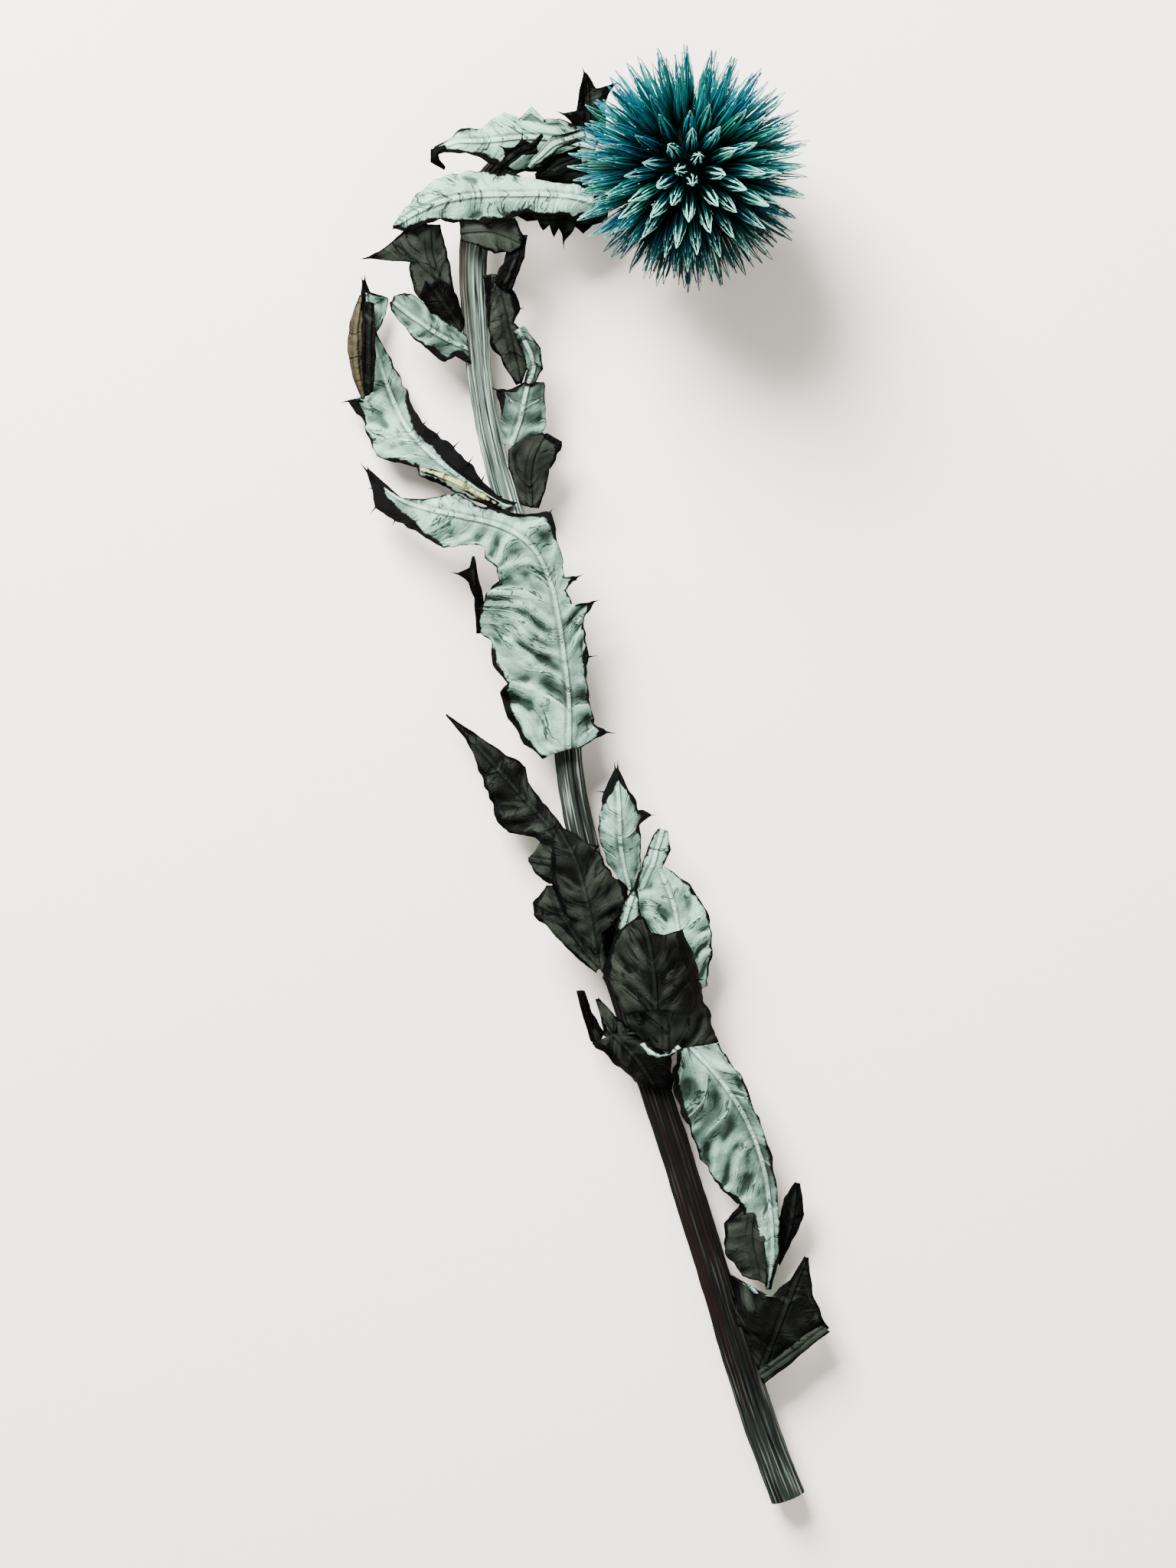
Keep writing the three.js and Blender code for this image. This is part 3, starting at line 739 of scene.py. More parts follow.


# ------------------------------------------------------------------ the leaves

# A leaf is one sheet or several: its blade, and parts of it that are folded over or torn. Of each sheet: the face it
# turns up, its tone from 0 to 1, which takes that face from its light towards its shaded colour, how far its margins
# droop for each millimetre of width, its midrib from base to tip as (x, y, height), then its two margins from base to
# tip as (x, y), with the reach of the black rim where it isn't RIM. Millimetres, from the spot on the table under the
# head's centre.
RIM = 0.28
SPINY = 1.2  # reach of the black rim from which a spine stands there
LEAVES = {
    "neck_leaf": [
        (
            "pale", 0, 0.35,
            [(-13.4, -3.6, 10.8), (-17, -2.8, 11.6), (-21.5, -2.6, 12.2), (-26, -2.8, 12.8), (-31, -2.8, 12.6),
             (-36, -3.6, 11), (-39.5, -5.2, 9.6), (-42.2, -6.9, 8.4)],
            [(-13.6, -2, 0), (-16.4, -1, 0.1), (-20.4, -0.7, 0), (-24, 0.2, 0.1), (-27.4, 0.5, 0.3), (-31, 0.6, 0.1),
             (-34.3, 0.1, 0.1), (-37, -0.9, 0), (-39.4, -2.9, 0), (-41, -4.9, 0.1), (-42.2, -6.7)],
            [(-13.8, -5.2, 0.6), (-16.4, -6, 0.8), (-18.6, -5.4, 0.6), (-21, -5.6), (-23.2, -5), (-25, -6, 1),
             (-27, -6.2), (-29, -6.9, 1.1), (-31, -6.2), (-33.4, -6.4, 1), (-35.4, -5.8), (-37.6, -6.6, 0.8),
             (-40, -7.6, 0.6), (-42.4, -7, 0.8)],
        ),
    ],
    "neck_crest_leaf": [
        (
            "pale", 0.2, 0.2,
            [(-13.2, 4.4, 9.4), (-16.6, 5, 10), (-20, 5.6, 10.8), (-25, 5.6, 10.8), (-29, 5, 10.2), (-33, 5.4, 9.8),
             (-36.4, 4.2, 9)],
            [(-13.4, 6.6, 0.2), (-16, 7.4, 0.1), (-18.5, 8.8, 0), (-20.6, 8.2, 0.2), (-22.4, 9.9, 0), (-24, 8.4, 0.2),
             (-26, 9.4, 0), (-27.8, 8.4, 0.3), (-29.6, 7, 0.1), (-32.4, 7.4, 0.6), (-33.6, 6), (-36.3, 4.6, 0.8)],
            [(-13.4, 1.8), (-17, 1.2, 0.8), (-21, 1.2, 0.8), (-24.8, 0.9, 0.6), (-27.4, 1.9, 0.9), (-29, 2.6, 0.6),
             (-30.8, 3.2), (-33, 3.6, 0.6), (-35.2, 3.8, 0.6), (-36.5, 3.9, 0.9)],
        ),
        (
            "dark", 0, 0,
            [(-34.6, 4.4, 9.6), (-36.3, 3.8, 9.8), (-36.2, 2.4, 9.6), (-34.8, 1.4, 9)],
            [(-34.8, 4.8, 1), (-36.8, 4, 1), (-36.8, 2.2, 1), (-34.9, 1.2, 1)],
            [(-34.4, 3.9, 1), (-35.6, 3.4, 1), (-35.5, 2.6, 1), (-34.7, 1.7, 1)],
        ),
        (
            "dark", 0, 0,
            [(-27.2, 1.2, 11), (-25.4, 2.6, 12), (-24.2, 3.6, 12.2), (-22, 4, 12.2), (-20.8, 5.8, 12)],
            [(-27.2, 1.6, 1), (-26.2, 2.8, 1), (-26.4, 4, 1.2), (-24.8, 4, 1), (-23.6, 5.2, 1.2), (-22.4, 4.6, 1),
             (-20.9, 6, 1)],
            [(-26.4, 1, 1), (-24.6, 2.2, 1), (-23.6, 3, 1), (-21.4, 3, 1.2), (-21.6, 4.2, 1), (-20.6, 5.6, 1)],
        ),
        (
            "dark", 0.1, 0,
            [(-21, 0.6, 11), (-19, 1.8, 12), (-15.4, 3.2, 12)],
            [(-20.8, 1.8, 1), (-18.6, 3.2, 1), (-15.4, 4.2, 1)],
            [(-20.4, -0.2, 1), (-18, 0.2, 1), (-15, 1.6, 1)],
        ),
        (
            "pale", 0.5, 0,
            [(-22.8, 1.4, 12), (-19, 4.6, 12.8), (-14.6, 5.8, 12.6)],
            [(-22, 2.8), (-19.4, 5.4), (-15, 6.6)],
            [(-22.2, 1), (-18.5, 3.8), (-14.6, 5)],
        ),
    ],
    "neck_bract": [
        (
            "dark", 0.1, -0.1,
            [(-12, 1, 8), (-15.4, 1.6, 8.8), (-18.4, 1.2, 9.6), (-21.8, 0.2, 9.8)],
            [(-12, 3.4, 1), (-15.6, 3.6, 1), (-18, 3.4, 1), (-20.4, 2.6, 0.6), (-21.9, 0.7, 1)],
            [(-12, -1.6, 1), (-15.6, -1.8, 1), (-18, -1.4, 1), (-20, -1.2, 0.6), (-21.8, -0.2, 1)],
        ),
        (
            "dark", 0.5, 0.25,
            [(-11.4, -3.8, 7.4), (-14.4, -4.2, 7.8), (-17.4, -5, 8.2), (-20.6, -5.4, 8.6), (-24.4, -5, 9.2)],
            [(-11.4, -1.6), (-14, -2.2), (-18, -3), (-21, -3.6), (-24.3, -4.6, 0.8)],
            [(-11.6, -5.6), (-13.6, -6.2), (-14.9, -7.4, 1), (-16.2, -6.6), (-17.6, -9, 1.4), (-18.4, -7, 0.6),
             (-19.1, -8.2, 1), (-19.9, -6.6), (-20.7, -7.4, 1), (-21.5, -5.9), (-23, -6, 1), (-24.5, -5.2, 1)],
        ),
    ],
    "back_leaf": [
        (
            "dark", 0.05, 0,
            [(-19.2, 4.2, 4.8), (-16.4, 5.8, 4.2), (-14, 7.6, 4.4), (-14.2, 10.6, 5), (-14.7, 15.8, 6)],
            [(-19.4, 5.2, 1), (-17.4, 7, 1), (-16, 8.2, 1), (-18.1, 10.2, 1.4), (-16, 10.4, 1), (-15.6, 13, 1),
             (-14.9, 15.9, 1.4)],
            [(-18.8, 3.4, 1), (-15.8, 4.4, 1), (-12.2, 6.4, 1), (-11.6, 9, 1), (-11.8, 11.6, 1), (-10.4, 14, 1.4),
             (-13, 13.4, 1), (-14.5, 15.7, 1)],
        ),
    ],
    "left_cup_leaf": [
        (
            "dark", 0.95, 0.05,
            [(-34.4, -17, 6.2), (-36, -13.6, 7), (-37, -10.6, 7.6), (-37.2, -6.4, 8.4)],
            [(-37.8, -17.6), (-39.6, -15.4), (-40, -13.2), (-39.8, -11.6), (-42.4, -11.6), (-46.2, -11, 1.4),
             (-44.2, -10), (-42, -8.6), (-40.4, -7.2), (-38, -6)],
            [(-33.2, -17), (-33.8, -14.4), (-34.2, -12), (-34.8, -9.4), (-35.4, -6.2)],
        ),
        (
            "dark", 0, 0,
            [(-32.4, -21.4, 5.6), (-34.4, -18.4, 7), (-36.8, -15, 7.8)],
            [(-34.6, -21.6, 1), (-37, -19, 1), (-38.4, -16.6, 1), (-37.6, -14.4, 1)],
            [(-32, -19.8, 1), (-32.8, -17.6, 1), (-33.8, -15.2, 1), (-35.8, -14, 1)],
        ),
        (
            "pale", 0.75, 0.2,
            [(-31.6, -24, 6.4), (-35.4, -22.4, 7.6), (-39, -20, 7.8), (-42.4, -17.2, 6.8)],
            [(-31.8, -22), (-34.5, -20.4), (-37.1, -18.4), (-38.8, -16.8), (-40.6, -15.9), (-42.3, -16.6)],
            [(-31.2, -26, 0.8), (-33.4, -25, 1), (-34.9, -26, 1), (-36.4, -25, 0.8), (-37.8, -23.8, 0.6),
             (-38.9, -22.8), (-41.1, -20.8), (-42.6, -18.6), (-42.8, -17.4)],
        ),
    ],
    "right_hanging_leaf": [
        (
            "dark", 0, 0.1,
            [(-23.8, -8, 9.2), (-24.6, -12, 9.2), (-26.4, -16, 9)],
            [(-25.6, -8.6, 1), (-26.4, -12, 1), (-28, -14.6, 1)],
            [(-22.9, -8, 1), (-23.4, -11.4, 1), (-25.2, -16, 1)],
        ),
        (
            "dark", 0.9, 0.15,
            [(-32.6, -7.6, 9.8), (-28, -7.4, 10.8), (-23.8, -9, 9.8)],
            [(-32.8, -6), (-28.8, -5.4), (-24.8, -5.8), (-23.3, -8.4, 1)],
            [(-32.4, -9), (-29.6, -9.8), (-27.6, -11, 0.6), (-25.4, -10.6), (-23.7, -9.8)],
        ),
        (
            "dark", 0.8, 0.3,
            [(-28, -13.6, 9), (-26.8, -17, 8.6), (-26, -21, 8), (-25, -25, 7), (-24.2, -29, 6.4)],
            [(-29.2, -13.8, 1), (-28.9, -17, 0.8), (-28.8, -20), (-28.2, -23), (-26.4, -26.4), (-24.6, -29.2)],
            [(-26, -14, 1), (-25, -16, 1), (-24, -18.4, 1.2), (-24.8, -20.4), (-23.6, -22), (-22.8, -24.4),
             (-23, -26.6), (-23.9, -29)],
        ),
        (
            "pale", 0.7, 0.2,
            [(-24.4, -21.4, 8.2), (-22.6, -24.4, 8), (-21.8, -27, 7.4), (-23, -29.2, 6.6)],
            [(-25, -21.8), (-23.8, -24.8), (-23, -27), (-23.5, -29.1)],
            [(-23.4, -20.9, 0), (-21.2, -24, 0.1), (-20.7, -27, 0.2), (-22.3, -29.3)],
        ),
    ],
    "right_folded_leaf": [
        (
            "pale", 0.95, 0.25,
            [(-25.4, -38, 5.6), (-24, -34.4, 6.6), (-23.4, -31.2, 6.8), (-22.8, -28.8, 6.2)],
            [(-26.8, -37.4, 0), (-26.8, -34, 0), (-27.2, -31.4, 0.9), (-27.7, -29.8, 1.4), (-25.8, -30, 1),
             (-23.6, -28.8, 0.2)],
            [(-22, -37.6, 0), (-20.5, -35.3, 0.1), (-20.4, -31.6, 0), (-20.7, -28.6, 0), (-22.6, -28.7, 0)],
        ),
        (
            "dark", 0.9, 0.2,
            [(-22.6, -46.8, 4.8), (-22.8, -42, 5.8), (-22.2, -39, 6.6), (-20.6, -36.3, 6.6)],
            [(-24.4, -46), (-25.4, -42), (-26, -38.4), (-23.4, -36.6), (-20.8, -36.1, 0.8)],
            [(-21.4, -46.8), (-20.5, -44), (-19.7, -41.4), (-18.6, -39, 0.6), (-17.9, -37.5, 1), (-20.2, -36.2, 0.8)],
        ),
    ],
    "left_curved_leaf": [
        (
            "pale", 0.5, 0.02,
            [(-25.6, -46.8, 6.2), (-31.5, -43.4, 5.8), (-36.6, -39.6, 4.8), (-40.6, -35.4, 3.6), (-43.2, -29.5, 2.6),
             (-45.2, -23.5, 2.2), (-46.4, -17.8, 3), (-46.7, -13.8, 4.6)],
            [(-24.6, -46.2, 0.8), (-27.2, -45.2, 1.7), (-29.5, -42.9, 2.3), (-31.4, -40.3, 2.6), (-33.7, -37.8, 2.7),
             (-36.1, -36.1, 2.1), (-38.1, -34.6, 1.5), (-39.6, -32.1, 0.9), (-40.5, -29.6), (-41.6, -27.4, 0.3),
             (-43.4, -24, 0.2), (-44.9, -21.2, 0.2), (-43.4, -18.5, 0.1), (-43.2, -16.2, 0.1), (-45.8, -15.4, 0.8),
             (-46.5, -13.7, 1.4)],
            [(-27, -47.4, 0.8), (-33, -44.8), (-36.2, -43.1, 0.7), (-38.7, -42), (-39.1, -40.9, 0.6),
             (-42.1, -40.1, 0.7), (-44.8, -39.3), (-46, -36.8), (-47, -34, 0.7), (-49, -31, 1.2), (-46.8, -31.2),
             (-47.6, -28), (-48.2, -24.5), (-48, -20.4), (-47.3, -16.6, 0.8), (-46.9, -13.9, 1.2)],
        ),
        (
            "tan", 0.3, 0.5,
            [(-46.8, -30.8, 2.8), (-47.6, -27.6, 3.6), (-47.9, -24.2, 4), (-47.8, -20.2, 4.2), (-47, -16, 4.4)],
            [(-47.1, -30.8, 0), (-48.4, -27.6, 0), (-49, -24.2, 0), (-48.7, -19.8, 0), (-47.3, -16, 0.2)],
            [(-46.5, -30.6), (-46.5, -27.4), (-46.8, -24), (-46.8, -20.4), (-46.6, -16.2, 0.6)],
        ),
        (
            "dark", 0.05, 0,
            [(-45.9, -30.4, 3.4), (-45.9, -26, 4.6), (-45.8, -22, 4.6), (-45.8, -17, 4.2)],
            [(-46.6, -30.6), (-46.9, -26), (-46.9, -22), (-46.5, -17)],
            [(-45.4, -29.6), (-45, -26), (-44.9, -22), (-45.2, -17.2)],
        ),
        (
            "cream", 0.15, 0,
            [(-38.4, -41.3, 6.2), (-35.6, -42.2, 7), (-32.7, -43.6, 7.6), (-29.6, -45.2, 7.8), (-27.2, -46.5, 7.4)],
            [(-38, -41), (-35.4, -41.8, 0), (-32.4, -43.1, 0), (-29.4, -44.8, 0.1), (-27, -46.2)],
            [(-38.3, -41.7), (-35.8, -42.7, 0.1), (-33, -44.1, 0.2), (-30, -45.7, 0.2), (-27.4, -46.8)],
        ),
    ],
    "clasping_leaf": [
        (
            "pale", 0.52, 0.2,
            [(-17, -81.6, 7.4), (-16.9, -74, 8.4), (-18, -66, 9), (-19, -59, 10), (-21.8, -52.4, 11),
             (-27, -49.4, 11), (-33.5, -48.2, 9.6), (-39.5, -46.8, 7.6), (-43.4, -44.6, 6), (-46.2, -41.2, 4.8)],
            [(-20.6, -82.8, 0.8), (-23.2, -80.9, 1), (-25.6, -77.4, 1.2), (-27.1, -73.2, 1), (-26, -72, 0.3),
             (-28.1, -69.4, 1), (-28.2, -66.3), (-30.2, -64.6, 0.3), (-29.8, -61.4), (-28.9, -59.3),
             (-27.2, -57.6), (-27.3, -55.4), (-29.1, -54.2), (-29.1, -52.7, 0.3), (-31.2, -52.4, 0.2),
             (-35.1, -52.8), (-38.8, -50.4, 1), (-42, -48.6, 1.8), (-45.1, -46.6, 2.6), (-45.5, -44, 2.4),
             (-46.4, -41.2, 1.4)],
            [(-15.4, -81.4, 0.6), (-13.6, -80.2), (-11.5, -79.3, 1.3), (-13.4, -78, 0.3), (-14, -74.7, 0.3),
             (-14.5, -69.6), (-14.1, -68.4, 1.2), (-14.6, -67.2, 0.3), (-14.8, -62.6), (-13.2, -60.4, 1.3),
             (-16.4, -61.2), (-17.5, -59, 0.3), (-15.6, -56.9, 1.2), (-17.6, -57.4), (-18.3, -53.1, 0.3),
             (-18.8, -50, 0.6), (-19.6, -47.8, 1.4), (-24.4, -48, 1), (-30.2, -46.8, 0.3), (-33.3, -45, 0.2),
             (-35.9, -45.5, 0.3), (-38, -45.8, 0.3), (-41.2, -45.5), (-43.3, -43.6, 1), (-46, -41.1, 1.4)],
        ),
        (
            "dark", 0, 0,
            [(-29.9, -65, 7.2), (-30, -61, 7.8), (-30.7, -57.6, 8.4), (-30.7, -54, 9)],
            [(-30.4, -65, 1), (-30.6, -60, 1), (-31.5, -57.8, 1), (-32.9, -56.4, 1.2), (-31.3, -55.7, 1),
             (-30.9, -54, 1)],
            [(-29.2, -64.6, 1), (-29.3, -60, 1), (-30, -57, 1), (-30.5, -54, 1)],
        ),
    ],
    "dark_left_leaf": [
        (
            "dark", 0.22, 0.1,
            [(-14.5, -97.4, 8), (-17.5, -95.4, 7.4), (-21.2, -91.2, 6.2), (-25.6, -86.4, 5), (-29.7, -81.7, 4),
             (-34.8, -76.6, 2.8)],
            [(-12.8, -95.6), (-15.6, -94.6), (-17.6, -93.2), (-20.2, -90), (-22.9, -86.4), (-23.2, -84.1),
             (-26.6, -82), (-30.5, -79.4), (-34.8, -76.5, 0.8)],
            [(-17.4, -98.6), (-20.6, -95.2, 0.8), (-21.9, -94.2, 0.8), (-25.6, -93.6, 0.8), (-27.3, -92.2, 1),
             (-28.4, -89, 0.8), (-29.7, -85.4, 0.6), (-30.8, -82.6), (-31.9, -80.2), (-34.9, -76.7, 0.8)],
        ),
        (
            "dark", 0.45, 0.2,
            [(-16, -99, 8), (-19.5, -98, 7.6), (-22.8, -97.5, 7)],
            [(-16.4, -96.6, 1), (-19.4, -95, 0.8), (-21.2, -94.9), (-22, -96.4), (-22.9, -97.3)],
            [(-16.6, -101.4, 1), (-19.9, -101, 0.8), (-21.9, -99.4), (-22.4, -98.4), (-22.9, -97.6)],
        ),
        (
            "dark", 0.35, 0.3,
            [(-13, -113.4, 6.8), (-16.2, -108.4, 8), (-18.4, -104.8, 8.6), (-19.6, -101.2, 8.2)],
            [(-15.4, -111.9, 1), (-18.8, -108.5, 1), (-21.9, -105.6), (-22, -103.7, 0.8), (-20.2, -101.2)],
            [(-12.4, -111, 1.4), (-14.6, -107, 1.6), (-16.6, -103.6, 1.8), (-18.4, -101.2, 1)],
        ),
        (
            "dark", 1, 0,
            [(-21.4, -105.4, 8.4), (-18.4, -108.2, 8.2), (-15.4, -111.3, 7.6), (-13, -113.4, 7)],
            [(-22, -104.8), (-18.9, -108.6), (-15.7, -111.8), (-13.1, -113.8)],
            [(-21, -104.6), (-17.8, -107.6, 0), (-14.8, -110.8, 0), (-12.7, -113.2)],
        ),
        (
            "dark", 0.42, 0.35,
            [(-12.8, -113, 7), (-13.6, -108, 9), (-14.6, -102.5, 9.8), (-16.2, -97, 9.4), (-18.6, -92.9, 8.2)],
            [(-12.2, -113.8), (-11.8, -111.6), (-12.2, -107.8), (-10, -106.4, 0.8), (-8.5, -103.7, 0.8),
             (-8.8, -101.6, 0.8), (-10.7, -99.7), (-13.1, -96.3), (-16, -93.8), (-18.4, -92.7)],
            [(-14.6, -111.6, 1), (-17.6, -106.6, 1), (-19.2, -102, 1), (-19.6, -98, 0.8), (-19.4, -94.6),
             (-18.8, -93)],
        ),
    ],
    "pale_right_leaf": [
        (
            "pale", 0.5, 0.2,
            [(-8.2, -102.2, 5.6), (-9.6, -96, 7), (-9.8, -90, 7.4), (-10.2, -84.4, 7.4)],
            [(-9.4, -101.4, 0.1), (-11.4, -97.8, 0), (-12.7, -94.2, 0), (-12.7, -90.8, 0.3), (-12, -87.8, 1.2),
             (-10.4, -84.4, 1.6)],
            [(-7, -101.6, 0.1), (-6.6, -96.3, 0.2), (-6.9, -92.5, 0.3), (-5.4, -91.2, 1.2), (-6.9, -90.2),
             (-8.6, -87.1, 0.8), (-10, -84.3, 1.6)],
        ),
        (
            "pale", 0.25, 0.1,
            [(-7.2, -103, 6.4), (-5, -98.4, 7.6), (-3.6, -93.2, 7.6)],
            [(-8, -102.2, 0.6), (-6.6, -98.4), (-5, -94), (-4.2, -93, 0.2)],
            [(-6, -103), (-3.8, -99), (-2.5, -96, 0.1), (-2.8, -93.4, 0)],
        ),
        (
            "pale", 0.3, 0.25,
            [(-1.6, -117, 5.6), (-1, -110, 7), (-1.8, -104, 7.6), (-4, -98.8, 7.4)],
            [(-5, -116.4, 0.2), (-6, -108, 0), (-7.4, -104.6, 0.1), (-6.6, -101.6, 0), (-4.6, -98.7, 0.1)],
            [(2.8, -116, 0.3), (3.5, -112), (3.7, -108.4), (2.8, -104.6), (0.4, -101.1, 0.6), (-3.3, -98.5, 0.3)],
        ),
        (
            "pale", 0.1, 0,
            [(-9.6, -108.4, 7.6), (-8.6, -104.6, 8.4), (-7.6, -101.8, 8)],
            [(-10.4, -108, 0.3), (-9.4, -104, 0.2), (-8, -101.7)],
            [(-8.4, -108.6, 0.1), (-7, -105.4, 0.2), (-7.1, -102, 0.3)],
        ),
    ],
    "dark_clasping_leaf": [
        (
            "dark", 0.5, 0.45,
            [(-3, -125, 7.6), (-3, -121.6, 9), (-4, -118.4, 9.6), (-5, -113, 9.8)],
            [(-6.4, -124.2), (-8.2, -121), (-10, -118), (-10, -114)],
            [(4.6, -124), (3.4, -120.7), (2.4, -117.2), (0.4, -113)],
        ),
        (
            "dark", 0.22, 0.45,
            [(-4.6, -119, 10), (-4.8, -114, 10.4), (-5.6, -109, 10.6), (-6.6, -105.6, 10.2)],
            [(-8.8, -119.6, 0.2), (-10.4, -117), (-12, -114.4, 0.8), (-11.2, -110, 1), (-10, -107.8, 0.8),
             (-8.4, -106.6), (-6.8, -105.3, 1.2)],
            [(0.4, -119.6, 0.2), (1.9, -116.4, 0.8), (1.6, -114.6, 1.4), (0.5, -110.5, 1.8), (-0.8, -107.6, 1.2),
             (-3.2, -108.2, 0.8), (-5.3, -107.9), (-6.4, -105.6, 1)],
        ),
        (
            "pale", 0, 0,
            [(-6.6, -123.8, 9), (-5.4, -125.1, 9), (-4.2, -125.6, 8.8), (-2.6, -125.3, 9.2), (-1.2, -124.2, 9.4)],
            [(-6.9, -123.9, 0), (-5.6, -125.4, 0), (-4.2, -125.9, 0), (-2.4, -125.6, 0), (-0.9, -124.4, 0)],
            [(-6.3, -123.6, 0), (-5.2, -124.8, 0), (-4.2, -125.3, 0), (-2.8, -125, 0), (-1.4, -123.9, 0)],
        ),
    ],
    "left_bract": [
        (
            "dark", 0, 0,
            [(-12.8, -124.4, 4), (-14.4, -120.4, 4.8), (-15.4, -116.4, 5.4)],
            [(-13.9, -123.8, 1), (-15, -120.4, 1), (-16, -116.5, 1)],
            [(-12, -122.6, 1), (-13.7, -119.6, 1), (-14.8, -116.5, 1)],
        ),
        (
            "dark", 0.8, 0,
            [(-9.8, -124, 5), (-11.2, -120.8, 5.8), (-13, -117.6, 5.4)],
            [(-12, -123), (-12.4, -120.6), (-13.2, -117.6)],
            [(-8, -122), (-10, -120.4), (-12.8, -117.4)],
        ),
        (
            "dark", 0, 0.3,
            [(-10.6, -122.6, 7), (-7, -126.4, 7.6), (-4.6, -130.4, 6.6)],
            [(-13.8, -123.8, 1), (-10.6, -126.6, 1), (-7.8, -129.4, 1)],
            [(-6.3, -122.4, 1), (-2.4, -125.8, 1), (-1.9, -130.8, 1)],
        ),
    ],
    "long_pale_leaf": [
        (
            "dark", 0.1, 0,
            [(13.2, -156, 3.4), (14.8, -151.6, 4.2), (15.4, -147.6, 4.6), (15.8, -144.2, 4.8)],
            [(12.9, -155.6, 1), (13.2, -150, 1), (14, -146.6, 1), (15.6, -144.1, 1)],
            [(13.5, -156.4, 1), (15.4, -152.4, 1), (17, -148.8, 1), (16.4, -144.3, 1)],
        ),
        (
            "dark", 0.95, 0.1,
            [(9.6, -147.4, 4.4), (9, -152, 5), (10.4, -158.4, 4.2)],
            [(7.6, -147.4, 1.4), (5.3, -150, 0.8), (5.4, -154.4), (8.2, -158)],
            [(11, -148, 0.2), (11.4, -153, 0.1), (11.6, -159, 0.1)],
        ),
        (
            "pale", 0.7, 0.22,
            [(0.4, -124.4, 7.6), (4.3, -128.4, 7.6), (7.2, -132.5, 7.2), (9.4, -136.6, 6.8), (11, -141.3, 6.4),
             (11.8, -146, 6), (12.3, -150.8, 5.2), (12.5, -155.5, 4.4), (11.8, -159.8, 3.2)],
            [(-1.4, -124.8, 1), (-2, -128.4, 0.8), (-1.6, -132.3, 0.8), (0.6, -137.2, 0.6), (2, -140.7),
             (4.9, -145.2, 0.6), (7.6, -147.4, 1), (9.4, -150.6, 0.2), (10.4, -155, 0.2), (11.5, -159.9)],
            [(4.6, -124, 0.6), (7.6, -128.4), (10.4, -135), (11.9, -139), (12.8, -144.5), (13.3, -149.9),
             (13.4, -154.7), (12.2, -159.8, 0.6)],
        ),
    ],
    "dark_low_leaf": [
        (
            "dark", 0.03, 0.1,
            [(10.4, -172.6, 4), (12.4, -167, 5), (14.4, -161.6, 5.4), (17.2, -155, 5)],
            [(6, -168.6, 1), (6.2, -164, 1), (6.2, -157.6, 1), (8.6, -159.6, 1), (11.8, -160.4, 0.8),
             (14.9, -158.2, 0.6), (17, -154.8, 1)],
            [(11.8, -172.8), (15.1, -169.6), (17.8, -167), (20.4, -165.2, 0.8), (18.6, -161.4), (17.8, -158),
             (17.6, -155, 1)],
        ),
        (
            "dark", 1, 0,
            [(20.2, -165.3, 5.4), (17.4, -167.4, 5.6), (14.4, -169.8, 5.6), (10.6, -172.4, 5)],
            [(19.6, -164.6, 0), (16.6, -166.2, 0), (13.8, -168.6, 0), (10.2, -171.2, 0)],
            [(20.6, -165.6), (17.9, -167.6), (15, -170.2), (11, -173.2)],
        ),
    ],
}

FACE_BELOW = {"pale": "dark", "dark": "pale", "tan": "pale", "cream": "pale"}
CELL = 0.42  # mm, of the grid that a blade is made of
VEIN_SPACING = 4.4  # mm along the midrib
VEIN_SLANT = 0.75  # how far a vein runs forward for each millimetre it runs out
THINNEST_HALF = 0.16  # mm, half the width of a blade at its tip
LOWEST = 0.2  # mm above the table
DEEPEST_DROOP = 3.0  # mm that a margin lies below its midrib, at most
DENTS, FINE_DENTS, BENDS = 7.5, 1.9, 8.0  # mm, how wide a blade's dents are, and the bends in its veins
MARGIN_WAVES = 1.5  # mm, how long the waves of a margin are
SPINE_RADIUS = 0.24  # mm
SPINE_LENGTHS = (1.2, 2.0)  # mm, the shortest and the longest
SPINE_ROOT = 0.5  # mm that a spine starts inside the margin
SPINE_REACH = 5  # mm round a spine's foot: it points away from the middle of this much of the blade


def smooth_line(points, rows):
    """A smooth line through or close to these points, evenly sampled."""
    points = np.array(points, float)
    run = np.r_[0, np.cumsum(np.linalg.norm(np.diff(points, axis=0), axis=1))]
    line = np.stack([np.interp(np.linspace(0, run[-1], rows), run, axis) for axis in points.T], axis=1)
    for _ in range(rows // 2):
        line[1:-1] = (line[:-2] + 2 * line[1:-1] + line[2:]) / 4
    return line


def margin_at(rib, margin):
    """A margin's three numbers at each row. Each of its points belongs to the row nearest to it on the midrib."""
    margin = np.array(margin, float)
    nearest = np.linalg.norm(rib[None, :, :2] - margin[:, None, :2], axis=2).argmin(1)
    step = np.linalg.norm(np.diff(margin[:, :2], axis=0), axis=1)
    even = np.r_[0, np.cumsum(step)] / step.sum() * (len(rib) - 1)
    rows = np.rint(0.75 * nearest + 0.25 * even)
    rows[0], rows[-1] = 0, len(rib) - 1
    for i in range(1, len(rows)):
        rows[i] = max(rows[i], rows[i - 1] + 1)
    for i in range(len(rows) - 2, -1, -1):
        rows[i] = min(rows[i], rows[i + 1] - 1)
    return np.stack([np.interp(np.arange(len(rib)), rows, axis) for axis in margin.T], axis=1)


def blurred(field, times):
    """A grid of numbers, each made the mean of its neighbours a number of times."""
    for _ in range(times):
        wide = np.pad(field, 1, mode="edge")
        field = (wide[:-2, 1:-1] + wide[2:, 1:-1] + wide[1:-1, :-2] + wide[1:-1, 2:] + 2 * field) / 6
    return field


